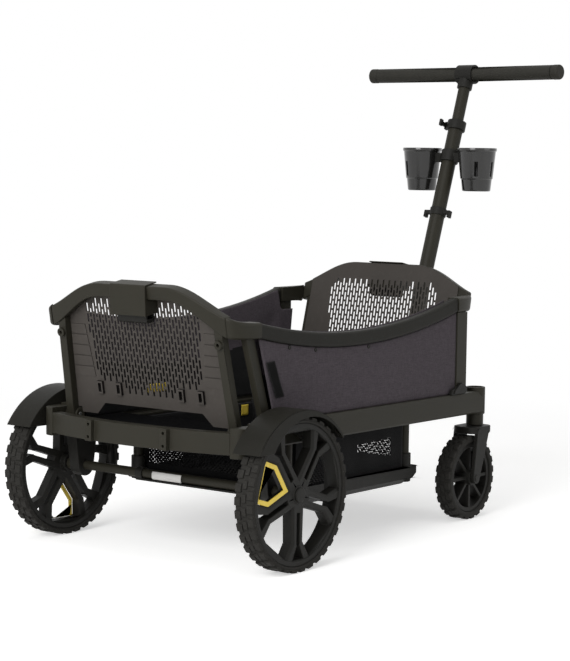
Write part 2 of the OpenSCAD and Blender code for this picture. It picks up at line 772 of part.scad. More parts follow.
module wall_posts(front) color(frame_grey) wall_at(front) both_sides() {
    h = height(front);
    half = wall_post_w / 2;
    mid = post_mid(edge_low(wall_foot - wall_post_lean, h));
    tips = [for (k = [1:-0.5:-1]) [mid + k * half, edge_low(mid + k * half, h) - rest_gap]];
    zs = socket_h + (front ? front_rise : 0);
    difference() {
        union() {
            end_on(-panel_back, wall_post_d)
                polygon(concat([[wall_foot - half, 0], [wall_foot + half, 0]], tips));
            cross_bar(wall_foot - half, wall_foot + half, eye_r);
            translate([wall_post_d, post_mid(zs), zs]) rotate([0, 90, 0])
                cylinder(h = socket_out, d = socket_boss_d);
        }
        cross_bar(0, rail_out, pin_d / 2 + run_gap);
        translate([wall_post_d + socket_out - socket_depth, post_mid(zs), zs]) rotate([0, 90, 0])
            cylinder(h = socket_depth + 1, d = socket_d);
    }
}
module rear_wall_posts() wall_posts(false);
module front_wall_posts() wall_posts(true);

// Slots stand in columns, each column offset half a pitch from the next
function grille_half(w) = grille_foot + (grille_top - grille_foot) * (w - grille_low) / (wall_h - grille_low);
function grille_edge(y) = grille_low + grille_dip * max(0, abs(y) - grille_level) / (grille_foot - grille_level);
function clear_of_loops(y, w) = min([for (l = [loop_in, loop_out]) max(
    abs(abs(y) - l) - slot_dx - slot_w / 2, abs(w - loop_z) - slot_dz * 0.6 - slot_h / 2)]) > 0;
function slot_fits(y, w, h) = abs(y) + slot_w / 2 < grille_half(w) && w - slot_h / 2 > grille_edge(y)
    && w + slot_h / 2 < edge_low(y, h) - 2 && clear_of_loops(y, w);
module slots(h) {
    columns = floor(grille_top / slot_dx);
    rows = ceil(h / slot_dz);
    for (i = [-columns:columns], j = [0:rows]) {
        y = i * slot_dx;
        w = grille_low + slot_h / 2 + (j + (i % 2 == 0 ? 0 : 0.5)) * slot_dz - grille_dip / 3;
        if (slot_fits(y, w, h)) translate([y, w]) square([slot_w, slot_h], center = true);
    }
}
loops = [-loop_out, -loop_in, loop_in, loop_out];
module wall_panel(front) color(panel_brown) wall_at(front) {
    h = height(front);
    foot = 4;
    eye_clear = eye_r + 2;
    y_ear = post_edge - 2 * ear_gap - ear_t - 3;
    panel_arch_w = y_ear - panel_leg;
    arch_top_w = panel_arch_w - panel_arch_h;
    right = [
        [arch_top_w, foot + panel_arch_h], [panel_arch_w, foot], [y_ear, foot], [y_ear, eye_clear],
        [post_mid(eye_clear), eye_clear]
    ];
    left = [for (i = [4:-1:0]) [-right[i].x, right[i].y]];
    top = [for (y = across(-post_mid(h - arch_rise), 48)) [y, edge_top(y, h) - 1]];
    end_on(-panel_back - panel_t, -panel_back) difference() {
        polygon(concat(right, top, left));
        slots(h);
        for (y = loops) translate([y, loop_z]) square([8, 18], center = true);
    }
}
// Raised frames round the strap loops, and pads with grooves between them on the panel's shoulders
module panel_trim(front) color(panel_brown) wall_at(front) {
    for (y = loops) end_on(-panel_back, 3) translate([y, loop_z]) difference() {
        square([15, 26], center = true);
        square([8, 18], center = true);
    }
    both_sides() for (i = [0:groove_count - 1]) {
        w0 = grille_low + grille_dip + i * slot_dz + 2;
        w1 = w0 + slot_dz - 2;
        out = wall_post_w / 2 + 2 * rest_gap;
        if (w1 < edge_low(post_mid(w1), height(front)) - 2) end_on(-panel_back, 1.5 - panel_back) polygon([
            [grille_half(w0) + 6, w0], [post_mid(w0) - out, w0], [post_mid(w1) - out, w1], [grille_half(w1) + 6, w1]
        ]);
    }
}
module rear_panel_trim() panel_trim(false);
module front_panel_trim() panel_trim(true);
module rear_wall_panel() wall_panel(false);
module front_wall_panel() wall_panel(true);

// The box folds over the rail's middle; its hollow takes the paddle's rise
module latch_box(front) color(frame_grey) wall_at(front) {
    h = height(front);
    z0 = h + 3 - box_h;
    z_rail = edge_low(box_w / 2, h) - rest_gap;
    n_top = rail_depth + rail_bow + box_wall;
    difference() {
        end_view_box(z0, h, n_top);
        translate([-panel_back - 1, -box_w, z_rail]) cube([n_top + panel_back + 1 - box_wall + rest_gap, 2 * box_w,
            h + rest_gap - z_rail]);
        side_on(-paddle_w / 2, paddle_w / 2) polygon([
            [0, z0 - 1], [box_reach - box_wall - 1, z0 - 1], [n_top - box_wall + 1, z_rail], [0, z_rail]
        ]);
    }
}
module end_view_box(z0, h, n_top) side_on(-box_w / 2, box_w / 2) polygon([
    [-panel_back, z0], [box_reach, z0], [n_top + 1, h], [n_top - 1.5, h + 3], [-panel_back - panel_t, h + 3],
    [-panel_back - panel_t, h + rest_gap], [-panel_back, h + rest_gap]
]);
module rear_latch_box() latch_box(false);
module front_latch_box() latch_box(true);

// A trough that fingers lift into the box
module latch_paddle(front) color(moulded_grey) wall_at(front) {
    h = height(front);
    z0 = h + 3 - box_h - paddle_drop;
    z1 = edge_low(box_w / 2, h) - paddle_travel - 1;
    n0 = paddle_gap;
    n1 = rail_depth + rail_bow + 1 - paddle_gap;
    t = 4;
    side_on(paddle_gap - paddle_w / 2, paddle_w / 2 - paddle_gap) polygon([
        [n0, z0 + t], [n0 + t, z0], [n1 - t, z0], [n1, z0 + t], [n1, z1], [n1 - t, z1], [n1 - t, z0 + 2 * t],
        [n0 + t, z0 + 2 * t], [n0 + t, z1], [n0, z1]
    ]);
}
module rear_latch_paddle() latch_paddle(false);
module front_latch_paddle() latch_paddle(true);

// Handle: drawn along z from its pivot, then leaned forward

module on_handle() in_frame() translate([pivot_x, 0, pivot_z]) rotate([0, handle_lean, 0]) children();
module at_bar() in_frame() translate([bar_x, 0, bar_z]) children();

module handle_lower_tube() color(frame_grey) on_handle() difference() {
    union() {
        translate([0, 0, 4]) cylinder(h = lower_l - 4, d = lower_d);
        cross_bar(-lower_d / 2, lower_d / 2, lower_d / 2);
    }
    translate([0, 0, lower_d]) cylinder(h = lower_l, r = lower_bore);
    cross_bar(-lower_d, lower_d, pivot_d / 2 + run_gap);
}
module handle_upper_tube() color(frame_grey) on_handle() translate([0, 0, lower_l - upper_in]) difference() {
    cylinder(h = upper_top - lower_l + upper_in, d = upper_d);
    translate([0, 0, -1]) cylinder(h = upper_top - hub_r - lower_l + upper_in, d = upper_d - 4);
}

// A ring round the tube with an upturned hook each side
module handle_hooks() color(moulded_grey) on_handle() translate([0, 0, hook_at]) difference() {
    union() {
        translate([0, 0, -9]) cylinder(h = 18, d = lower_d + 5);
        both_sides() {
            translate([-6, 0, -5]) cube([12, hook_reach, 9]);
            translate([-6, hook_reach - 7, -13]) cube([12, 7, 17]);
        }
    }
    translate([0, 0, -10]) cylinder(h = 20, d = lower_d);
}

module clamp_collar() color(moulded_grey) on_handle() translate([0, 0, lower_l - collar_h / 2]) difference() {
    union() {
        cylinder(h = collar_h, d = lower_d + 2 * collar_t);
        translate([-6, 0, 2]) cube([12, lower_d / 2 + collar_t + 8, collar_h - 4]);
    }
    translate([0, 0, -1]) cylinder(h = collar_h / 2 + 1, d = lower_d);
    translate([0, 0, -1]) cylinder(h = collar_h + 2, r = lower_bore);
    translate([-2, 0, collar_h / 2 + 1]) cube([4, lower_d, collar_h]);
    translate([-7, lower_d / 2 + collar_t + 1, collar_h / 2 - 5]) cube([14, 12, 10]);
    translate([0, lower_d / 2 + collar_t + 5, -1]) cylinder(h = collar_h + 2, d = 4);
}
// A cam lever on a pin beside the collar, lying back along the tube's rear
module clamp_lever() color(moulded_grey) on_handle()
    translate([0, lower_d / 2 + collar_t + 5, lower_l - collar_h / 2]) {
        translate([0, 0, 2]) cylinder(h = collar_h - 4, d = 4 - 2 * run_gap);
        translate([0, 0, collar_h / 2 - 4.5]) cylinder(h = 9, r = 3.6);
        translate([-lever_l, -2.5, collar_h / 2 - 4.5]) cube([lever_l, 6, 9]);
        translate([-lever_l - 4, -2.5, collar_h / 2 - 8]) cube([10, 6, 16]);
    }

cup_low = cup_top - cup_h;
cup_x = pivot_x + (cup_top - 10 - pivot_z) * tan(handle_lean) - 6;
module cup_at() in_frame() translate([cup_x, cup_side, cup_low]) children();
function cup_r(z) = (cup_foot_d + (cup_rim_d - cup_foot_d) * z / cup_h) / 2;
sleeve_z = 0.28 * cup_h;
module cup() color(moulded_grey) cup_at() difference() {
    inner = cup_step + cup_wall;
    rotate_extrude() polygon([
        [0, 0], [cup_r(0) - cup_step - 2, 0], [cup_r(0) - cup_step, 2], [cup_r(sleeve_z) - cup_step, sleeve_z],
        [cup_r(sleeve_z), sleeve_z + 1], [cup_r(cup_h - 8), cup_h - 8], [cup_r(cup_h) + 1.5, cup_h - 7],
        [cup_r(cup_h) + 1.5, cup_h], [cup_r(cup_h) - inner, cup_h], [cup_r(cup_wall) - inner, cup_wall + 1],
        [0, cup_wall + 1]
    ]);
    for (a = [30, 90, 150]) rotate([0, 0, a]) translate([0, -4, cup_h * 0.34]) cube([cup_rim_d, 8, cup_h * 0.34]);
}
module cup_left() cup();
module cup_right() mirror([0, 1, 0]) cup();

module cup_bracket() color(moulded_grey) difference() {
    z_arm = cup_top - 34;
    clamp_at = (z_arm + 13 - pivot_z) / cos(handle_lean);
    union() {
        on_handle() translate([0, 0, clamp_at - clamp_h / 2]) cylinder(h = clamp_h, d = lower_d + 9);
        in_frame() translate([cup_x - 10, -cup_side, z_arm]) cube([20, 2 * cup_side, 22]);
    }
    on_handle() translate([0, 0, clamp_at - clamp_h]) cylinder(h = 2 * clamp_h, d = lower_d);
    both_sides() cup_at() translate([0, 0, -1])
        cylinder(h = cup_h + 2, r1 = cup_r(-1) + rest_gap, r2 = cup_r(cup_h + 1) + rest_gap);
}

// Cross bar: two halves swept back from the hub
module bar_half(l, r) rotate([0, 0, bar_sweep]) cross_bar(0, l, r);
bar_core = bar_l / 2 - bar_cap_l;
module handle_bar() color(moulded_grey) at_bar() both_sides() bar_half(bar_core, bar_d / 2);
module bar_end_caps() color(moulded_grey) at_bar() both_sides() rotate([0, 0, bar_sweep])
    translate([0, bar_core, 0]) rotate([-90, 0, 0]) rotate_extrude() polygon(concat(
        [[0, 0], [bar_d / 2 - 1, 0], [bar_d / 2 - 1, 2], [bar_d / 2 + 0.5, 3]],
        arc(bar_d / 2 - 4.5, bar_cap_l - 5, 5, 0, 90, 6), [[0, bar_cap_l]]));
module handle_hub() color(moulded_grey) difference() {
    union() {
        at_bar() cross_bar(-hub_w / 2, hub_w / 2, hub_r);
        on_handle() translate([0, 0, handle_l - hub_r - 14]) cylinder(h = hub_r + 14, d = upper_d + 8);
    }
    at_bar() both_sides() bar_half(hub_w, bar_d / 2 + run_gap);
    on_handle() translate([0, 0, lower_l]) cylinder(h = upper_top + rest_gap - lower_l, d = upper_d);
}

// Brake: a foot bar under the axle, on two collars that turn on it
module brake_bar() color(moulded_grey) in_frame() translate([0, 0, axle_z]) {
    y0 = 14 - rail_in;
    collar_r = axle_d / 2 + 3.5;
    difference() {
        union() {
            translate([-brake_w / 2, y0, -collar_r - 1]) cube([brake_w, brake_l, brake_t]);
            for (y = [y0, y0 + brake_l - brake_collar_w]) cross_bar(y, y + brake_collar_w, collar_r);
        }
        cross_bar(-rail_out, rail_out, axle_d / 2 + rest_gap);
    }
}

// Footwell

// The tray's body, or its hollow where it is drawn smaller by t
module tray_body(t, z1) {
    x0 = well_back + tray_in + t;
    x1 = well_back + well_l - t;
    z0 = well_low + t;
    half = well_w / 2 - t;
    intersection() {
        side_on(-half, half) polygon([
            [x0 + rear_slope_l - t, z0], [x1 - front_slope_l + t, z0], [x1, z0 + front_slope_h], [x1, z1], [x0, z1],
            [x0, z0 + rear_slope_h]
        ]);
        end_on(x0, x1) polygon([
            [tray_side - half, z0], [half - tray_side, z0], [half, z0 + tray_side], [half, z1], [-half, z1],
            [-half, z0 + tray_side]
        ]);
    }
}
module footwell_tray() color(moulded_grey) in_frame() {
    z1 = well_low + tray_h;
    sleeve_out = sleeve_r + sleeve_wall;
    foot = [rear_slope_h + tray_t, tray_t];
    difference() {
        union() {
            difference() {
                tray_body(0, z1);
                tray_body(tray_t, z1 + 1);
            }
            both_sides() for (i = [0, 1]) translate([post_x[i], post_y, well_low]) {
                low = max(foot[i], tray_side);
                translate([0, 0, foot[i]]) cylinder(h = sleeve_h - foot[i], r = sleeve_out);
                translate([-sleeve_out, 0, low]) cube([2 * sleeve_out, sleeve_out, tray_h - low]);
            }
        }
        both_sides() for (x = post_x) translate([x, post_y, well_low - 1]) cylinder(h = sleeve_h + 2, r = sleeve_r);
    }
}
// Four cloth walls with a hem under each rail's ledge
module footwell_sides() color(cloth_grey) in_frame() {
    in_x = sleeve_r + sleeve_wall + 1;
    x0 = post_x[0] + in_x;
    x1 = post_x[1] - in_x;
    y1 = post_y - sleeve_r - sleeve_wall - 1;
    z0 = well_low + rear_slope_h + tray_t + rest_gap;
    z1 = rail_bottom + ledge_rise - rest_gap;
    difference() {
        translate([x0, -y1, z0]) cube([x1 - x0, 2 * y1, z1 - z0]);
        translate([x0 + well_fabric, well_fabric - y1, z0 - 1])
            cube([x1 - x0 - 2 * well_fabric, 2 * (y1 - well_fabric), z1 - z0 + 2]);
    }
    both_sides() translate([x0, y1 - 0.5, z1 - well_fabric]) cube([x1 - x0, rail_in - 1 - y1, well_fabric]);
}

// Rear wheels: drawn about y, outer face towards +y

module rear_wheel_at(s) in_frame() on_side(s) translate([0, rear_track / 2, axle_z]) children();
module tread(teeth, r, y0, y1, phase) side_on(y0, y1) difference() {
    polygon([for (i = [0:teeth - 1], k = [0:3])
        let (a = (i + [0.03, 0.1, 0.68, 0.75][k] + phase) * 360 / teeth, q = (k == 1 || k == 2) ? r : r - lug_h - 1)
        [q * cos(a), q * sin(a)]]);
    circle(r = r - lug_h - 3);
}
module tyre(d, w, rim, teeth) color(tyre_black) {
    r = d / 2;
    bead = w / 2 - 6;
    rotate([-90, 0, 0]) rotate_extrude($fn = 96) polygon([for (s = [-1, 1]) each s < 0 ? [
        [rim / 2, -bead], [rim / 2 + 3, -bead], [rim / 2 + 3.5, -w / 2 + 2], [rim / 2 + 6, -w / 2],
        [r - lug_h - 3, -w / 2], [r - lug_h, -w / 2 + 4]
    ] : [
        [r - lug_h, w / 2 - 4], [r - lug_h - 3, w / 2], [rim / 2 + 6, w / 2], [rim / 2 + 3.5, w / 2 - 2],
        [rim / 2 + 3, bead], [rim / 2, bead]
    ]]);
    tread(teeth, r, w / 6, w / 2 - 1, 0);
    tread(teeth, r, 1 - w / 2, -w / 6, 0.5);
    tread(teeth, r - 0.5, -w / 9, w / 9, 0.25);
}
window_r = rear_rim_d / 2 - rim_wall;
function window_pts() = [
    [0, window_tip], [window_w / 2, window_shoulder], [window_w / 2 + 1, sqrt(window_r * window_r - window_w * window_w / 4) - 1],
    [-window_w / 2 - 1, sqrt(window_r * window_r - window_w * window_w / 4) - 1], [-window_w / 2, window_shoulder]
];
window_mid = (window_shoulder + window_r) / 2;
function centred(p) = [for (q = p) q - [0, window_mid]];
module rear_rim(phase) color(moulded_grey) {
    half = rear_tyre_w / 2;
    face = half - 6;
    bead = half - 6;
    grow = 1 + 2 * window_bevel / window_w;
    difference() {
        union() {
            rotate([-90, 0, 0]) rotate_extrude($fn = 96) polygon([
                [window_r, -bead - 2], [rear_rim_d / 2 + 2.5, -bead - 2], [rear_rim_d / 2 + 2.5, -bead - rest_gap],
                [rear_rim_d / 2 - rest_gap, -bead - rest_gap], [rear_rim_d / 2 - rest_gap, bead + rest_gap],
                [rear_rim_d / 2 + 2.5, bead + rest_gap], [rear_rim_d / 2 + 2.5, bead + 2], [window_r, bead + 2]
            ]);
            side_on(face - spoke_t, face) circle(r = window_r + 1, $fn = 96);
            cross_bar(2 - half, face + 2, rear_hub_d / 2);
        }
        for (i = [0:window_count - 1]) rotate([0, 90 - phase - i * 360 / window_count, 0]) {
            side_on(face - spoke_t - 1, face + 1) polygon(window_pts());
            translate([0, face + 0.01, window_mid]) rotate([90, 0, 0])
                linear_extrude(window_bevel, scale = 0.96 / grow) polygon(scaled(centred(window_pts()), grow));
            rotate([0, 180 / window_count, 0]) side_on(face - spoke_t - 1, face + 1)
                polygon([[0, small_tip], [small_w / 2, window_r - 2], [-small_w / 2, window_r - 2]]);
        }
        cross_bar(-half, rear_track, spindle_d / 2 + run_gap);
    }
}
// A frame that lines one window, wide along the tip and thin at the rim
module rear_trim(phase) color(trim_yellow) {
    face = rear_tyre_w / 2 - 6;
    p = scaled(centred(window_pts()), 1 - 2 * rest_gap / window_w);
    q = [p[0] + [0, 1.6 * trim_w], p[1] - [trim_w, -0.3 * trim_w], p[2] - [trim_w, 2], p[3] + [trim_w, -2],
        p[4] + [trim_w, 0.3 * trim_w]];
    rotate([0, 90 - phase, 0]) translate([0, 0, window_mid]) side_on(face - trim_t - 1, face - 1) difference() {
        polygon(p);
        polygon(q);
    }
}
module rear_hub_cap() color(moulded_grey) {
    y0 = rear_tyre_w / 2 - 4;
    translate([0, y0, 0]) rotate([-90, 0, 0]) rotate_extrude() polygon(concat(
        [[0, 0], [rear_hub_d / 2 - 3, 0]], arc(rear_hub_d / 2 - 6, 1, 3, 0, 80, 4), [[0, 4.5]]));
}
module rear_tyre_left() rear_wheel_at(1) tyre(rear_wheel_d, rear_tyre_w, rear_rim_d, rear_lugs);
module rear_tyre_right() rear_wheel_at(-1) tyre(rear_wheel_d, rear_tyre_w, rear_rim_d, rear_lugs);
module rear_rim_left() rear_wheel_at(1) rear_rim(trim_left);
module rear_rim_right() rear_wheel_at(-1) rear_rim(trim_right);
module rear_trim_left() rear_wheel_at(1) rear_trim(trim_left);
module rear_trim_right() rear_wheel_at(-1) rear_trim(trim_right);
module rear_hub_cap_left() rear_wheel_at(1) rear_hub_cap();
module rear_hub_cap_right() rear_wheel_at(-1) rear_hub_cap();

// Casters

module stem_at(s) in_frame() on_side(s) translate([wheelbase, stem_y, 0]) children();
module caster_wheel_at(s) stem_at(s) translate([-caster_trail, 0, caster_z]) children();
module caster_fork(s) color(moulded_grey) stem_at(s) {
    union() {
        translate([-caster_trail / 4, 0, crown_z]) linear_extrude(crown_t)
            polygon(round_rect(crown_l, 2 * fork_out, 20, 6));
        both_sides() side_on(fork_in, fork_out) hull() {
            translate([-4, crown_z + 1]) circle(r = crown_t - 1, $fn = 32);
            translate([-22, crown_z + 1]) circle(r = crown_t - 1, $fn = 32);
            translate([-caster_trail, caster_z]) circle(r = caster_axle_d / 2 + 8, $fn = 32);
        }
        translate([0, 0, crown_z]) cylinder(h = head_top - 4 - crown_z, d = stem_d);
        translate([-caster_trail, 0, caster_z]) {
            cross_bar(-fork_out, fork_out, caster_axle_d / 2);
            both_sides() cross_bar(fork_out, fork_out + 2, caster_axle_d / 2 + 3);
        }
    }
}
module caster_rim() color(moulded_grey) difference() {
    half = caster_tyre_w / 2;
    bead = half - 6;
    r = caster_rim_d / 2;
    union() {
        rotate([-90, 0, 0]) rotate_extrude($fn = 96) polygon([
            [r - 7, -bead - 2], [r + 2.5, -bead - 2], [r + 2.5, -bead - rest_gap], [r - rest_gap, -bead - rest_gap],
            [r - rest_gap, bead + rest_gap], [r + 2.5, bead + rest_gap], [r + 2.5, bead + 2], [r - 7, bead + 2]
        ]);
        for (i = [0:caster_spokes - 1]) rotate([0, i * 360 / caster_spokes, 0])
            translate([0, -bead, -caster_spoke_w / 2]) cube([r - 6, 2 * bead, caster_spoke_w]);
        cross_bar(-fork_in + rest_gap, fork_in - rest_gap, caster_hub_d / 2);
    }
    cross_bar(-fork_out, fork_out, caster_axle_d / 2 + run_gap);
}
module caster_fork_left() caster_fork(1);
module caster_fork_right() caster_fork(-1);
module caster_rim_left() caster_wheel_at(1) caster_rim();
module caster_rim_right() caster_wheel_at(-1) caster_rim();
module caster_tyre_left() caster_wheel_at(1) tyre(caster_d, caster_tyre_w, caster_rim_d, caster_lugs);
module caster_tyre_right() caster_wheel_at(-1) tyre(caster_d, caster_tyre_w, caster_rim_d, caster_lugs);

chassis_rails();
rear_beam();
rear_castings();
rear_cross_member();
front_cross_member();
front_beam();
head_tubes();
handle_pin();
axle_legs();
rear_axle();
fenders();
seat_boards();
footwell_posts();
wall_hinge_pins();
side_rail_left();
side_rail_right();
side_posts();
corner_caps();
side_fabric_left();
side_fabric_right();
rear_wall_rail();
rear_wall_posts();
rear_wall_panel();
rear_panel_trim();
rear_latch_box();
rear_latch_paddle();
front_wall_rail();
front_wall_posts();
front_wall_panel();
front_panel_trim();
front_latch_box();
front_latch_paddle();
handle_lower_tube();
handle_hooks();
clamp_collar();
clamp_lever();
cup_bracket();
cup_left();
cup_right();
handle_upper_tube();
handle_hub();
handle_bar();
bar_end_caps();
brake_bar();
footwell_tray();
footwell_sides();
rear_tyre_left();
rear_rim_left();
rear_trim_left();
rear_hub_cap_left();
rear_tyre_right();
rear_rim_right();
rear_trim_right();
rear_hub_cap_right();
caster_fork_left();
caster_rim_left();
caster_tyre_left();
caster_fork_right();
caster_rim_right();
caster_tyre_right();
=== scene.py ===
import json
import math

import bpy
from mathutils import Matrix, Vector


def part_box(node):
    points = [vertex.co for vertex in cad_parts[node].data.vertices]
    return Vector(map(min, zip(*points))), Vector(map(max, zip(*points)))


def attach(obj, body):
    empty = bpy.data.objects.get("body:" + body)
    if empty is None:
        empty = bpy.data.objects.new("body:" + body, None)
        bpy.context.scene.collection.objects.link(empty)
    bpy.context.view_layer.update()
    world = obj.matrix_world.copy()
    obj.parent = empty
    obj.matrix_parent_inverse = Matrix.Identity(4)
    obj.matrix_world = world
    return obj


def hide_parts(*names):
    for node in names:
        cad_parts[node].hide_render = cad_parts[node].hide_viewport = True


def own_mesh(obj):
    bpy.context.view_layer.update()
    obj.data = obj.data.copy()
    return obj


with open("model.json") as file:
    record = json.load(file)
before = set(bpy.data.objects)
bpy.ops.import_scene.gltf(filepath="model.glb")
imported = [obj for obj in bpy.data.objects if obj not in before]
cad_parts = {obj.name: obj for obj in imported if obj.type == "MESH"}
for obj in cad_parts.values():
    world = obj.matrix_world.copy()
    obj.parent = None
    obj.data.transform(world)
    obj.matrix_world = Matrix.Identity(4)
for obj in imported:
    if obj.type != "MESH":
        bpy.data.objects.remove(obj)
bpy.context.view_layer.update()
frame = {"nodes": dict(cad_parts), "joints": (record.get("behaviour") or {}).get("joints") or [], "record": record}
NODES = frame["nodes"]
SLOT_OF = {part["node"]: part["material_slot"] for part in frame["record"]["subparts"]}
OUTWARD = {"left": 1, "right": -1}
TURN = 2 * math.pi


def middle(node):
    low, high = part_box(node)
    return (Vector(low) + Vector(high)) / 2


def link(name, data):
    thing = bpy.data.objects.new(name, data)
    bpy.context.scene.collection.objects.link(thing)
    return thing


# Camera, measured from the rear axle's middle on the floor

CAMERA_OFFSET = Vector((-2.9159, -2.5199, 0.7645))
CAMERA_YAW = 0.655
CAMERA_PITCH = -0.082
CAMERA_ROLL = 0.014
FOCAL_PIXELS = 1934.9
PHOTO_TALL = 661
SENSOR = 36.0
FARTHEST_SEEN = 60


def place_camera():
    ahead = Vector((
        math.cos(CAMERA_PITCH) * math.cos(CAMERA_YAW),
        math.cos(CAMERA_PITCH) * math.sin(CAMERA_YAW),
        math.sin(CAMERA_PITCH),
    ))
    level = ahead.cross(Vector((0, 0, 1))).normalized()
    upright = level.cross(ahead)
    right = math.cos(CAMERA_ROLL) * level + math.sin(CAMERA_ROLL) * upright
    up = right.cross(ahead)
    data = bpy.data.cameras.new("camera")
    data.sensor_width = SENSOR
    data.lens = FOCAL_PIXELS * SENSOR / PHOTO_TALL
    data.clip_end = FARTHEST_SEEN
    camera = link("camera", data)
    turn = Matrix((right, up, -ahead)).transposed().to_4x4()
    axle = Vector((middle("rear_axle").x, 0, 0))
    camera.matrix_world = Matrix.Translation(CAMERA_OFFSET + axle) @ turn
    bpy.context.scene.camera = camera


place_camera()


# Shader maths

class Value:
    """A socket in a finish's node tree. Arithmetic on it adds Math nodes."""

    def __init__(self, finish, socket):
        self.finish = finish
        self.socket = socket

    def math(self, operation, *others):
        return self.finish.node("Math", {"operation": operation}, (self, *others))

    def __add__(self, other):
        return self.math("ADD", other)

    def __sub__(self, other):
        return self.math("SUBTRACT", other)

    def __mul__(self, other):
        return self.math("MULTIPLY", other)

    def __rsub__(self, other):
        return self.finish.node("Math", {"operation": "SUBTRACT"}, (other, self))

    __radd__ = __add__
    __rmul__ = __mul__

    def sine(self):
        return self.math("SINE")

    def size(self):
        return self.math("ABSOLUTE")

    def most(self, other):
        return self.math("MAXIMUM", other)

    def above(self, other):
        return self.math("GREATER_THAN", other)

    def step(self, low, high):
        """0 below low, 1 above high and a smooth rise between."""
        smooth = {"interpolation_type": "SMOOTHSTEP"}
        return self.finish.node("MapRange", smooth, (self, low, high, 0.0, 1.0))


class Finish:
    """A material, or the world, under construction. Coordinates are metres in the part's frame."""

    def __init__(self, name, owner=None):
        self.owner = owner or bpy.data.materials.new(name)
        self.owner.use_nodes = True
        self.tree = self.owner.node_tree
        self.tree.nodes.clear()

    @property
    def place(self):
        return self.node("TexCoord", output="Object")

    def node(self, kind, settings=None, sockets=(), output=0):
        made = self.tree.nodes.new("ShaderNode" + kind)
        for name, value in (settings or {}).items():
            setattr(made, name, value)
        pairs = sockets.items() if isinstance(sockets, dict) else enumerate(sockets)
        for key, value in pairs:
            if isinstance(value, Value):
                self.tree.links.new(value.socket, made.inputs[key])
            elif value is not None:
                made.inputs[key].default_value = value
        return Value(self, made.outputs[output]) if made.outputs else None

    def axes(self):
        split = self.node("SeparateXYZ", None, (self.place,))
        outputs = split.socket.node.outputs
        return [Value(self, outputs[i]) for i in range(3)]

    def noise(self, scale, detail=2.0, stretch=None, rough=0.5):
        place = self.place
        if stretch:
            place = self.node("VectorMath", {"operation": "MULTIPLY"}, (place, stretch))
        sockets = {"Vector": place, "Scale": scale, "Detail": detail, "Roughness": rough}
        return self.node("TexNoise", None, sockets)

    def cells(self, scale):
        return self.node("TexVoronoi", {"feature": "F1"}, {"Vector": self.place, "Scale": scale})

    def between(self, share, first, second):
        """A colour that goes from the first to the second as share goes from 0 to 1."""
        return self.node("Mix", {"data_type": "RGBA"}, {0: share, 6: first, 7: second}, output=2)

    def surface(self, colour, rough, height=None, depth=0.0, alpha=None, fixed=None):
        sockets = {"Base Color": colour, "Roughness": rough, "Alpha": alpha, **(fixed or {})}
        if height is not None:
            bump = {"Strength": 1.0, "Distance": depth, "Height": height}
            sockets["Normal"] = self.node("Bump", None, bump)
        shader = self.node("BsdfPrincipled", None, sockets)
        self.node("OutputMaterial", None, (shader,))
        return self.owner


def tone(red, green, blue):
    return (red, green, blue, 1.0)


def shade(colour, k):
    return tone(colour[0] * k, colour[1] * k, colour[2] * k)


# Finishes

FRAME_OLIVE = tone(0.0220, 0.0204, 0.0146)
MOULDED_BLACK = tone(0.0115, 0.0111, 0.0096)
PANEL_BROWN = tone(0.054, 0.048, 0.043)
RAIL_BLACK = tone(0.0125, 0.0119, 0.0095)
TYRE_BLACK = tone(0.0195, 0.0185, 0.0165)
CLOTH_PLUM = tone(0.066, 0.056, 0.064)
WELL_BLACK = tone(0.0085, 0.0085, 0.0088)
CUP_BLACK = tone(0.0115, 0.0112, 0.0105)
GRIP_BLACK = tone(0.025, 0.024, 0.020)
TAG_BLACK = tone(0.008, 0.008, 0.008)
PLATE_WHITE = tone(0.62, 0.61, 0.59)
TRIM_YELLOW = tone(0.86, 0.64, 0.085)
PIN_GREY = tone(0.30, 0.30, 0.29)
DULL = {"Specular IOR Level": 0.15}
THREAD = 0.0011
GRIP_RING = 0.004
TAPE_RIB = 0.0016


def powder_coat():
    """Satin paint with a fine orange peel and a faint unevenness."""
    f = Finish("powder_coat")
    peel = f.noise(1500, 2)
    cloud = f.noise(14, 3)
    dust = f.noise(260, 4, rough=0.7).step(0.6, 0.78)
    colour = f.between(cloud, shade(FRAME_OLIVE, 0.88), shade(FRAME_OLIVE, 1.12))
    colour = f.between(dust * 0.22, colour, shade(FRAME_OLIVE, 1.9))
    return f.surface(colour, 0.42 + cloud * 0.12 + dust * 0.08, peel, 0.00006, fixed=DULL)


def moulded_plastic(name, colour, rough, grain=1100, depth=0.00008, painted_slot_shade=False, gloss=0.15):
    """Spark-eroded plastic: a fine pebble, shinier where it has been rubbed. With painted_slot_shade the slot
    sides are painted near-black as shade.
    """
    f = Finish(name)
    pebble = f.cells(grain)
    cloud = f.noise(18, 3)
    rubbed = f.noise(90, 4, rough=0.65).step(0.52, 0.72)
    base = f.between(cloud, shade(colour, 0.86), shade(colour, 1.14))
    base = f.between(rubbed * 0.18, base, shade(colour, 1.7))
    if painted_slot_shade:
        # Painted shade: faces turned away from the panel's face (the slot sides) are painted near-black
        normal = f.node("SeparateXYZ", None, (f.node("TexCoord", output="Normal"),))
        base = f.between(normal.size().step(0.45, 0.8), shade(colour, 0.12), base)
    uneven = rough + cloud * 0.10 - rubbed * 0.06
    return f.surface(base, uneven, pebble, depth, fixed={"Specular IOR Level": gloss})


def tyre_rubber():
    """Rubber with a dusty bloom and a moulded grain."""
    f = Finish("tyre_rubber")
    grain = f.noise(900, 3)
    bloom = f.noise(34, 4, rough=0.6)
    scuff = f.noise(240, 3, rough=0.7).step(0.55, 0.75)
    colour = f.between(bloom, shade(TYRE_BLACK, 0.75), shade(TYRE_BLACK, 1.3))
    colour = f.between(scuff * 0.35, colour, tone(0.075, 0.072, 0.064))
    return f.surface(colour, 0.66 + bloom * 0.16, grain, 0.00012, fixed=DULL)


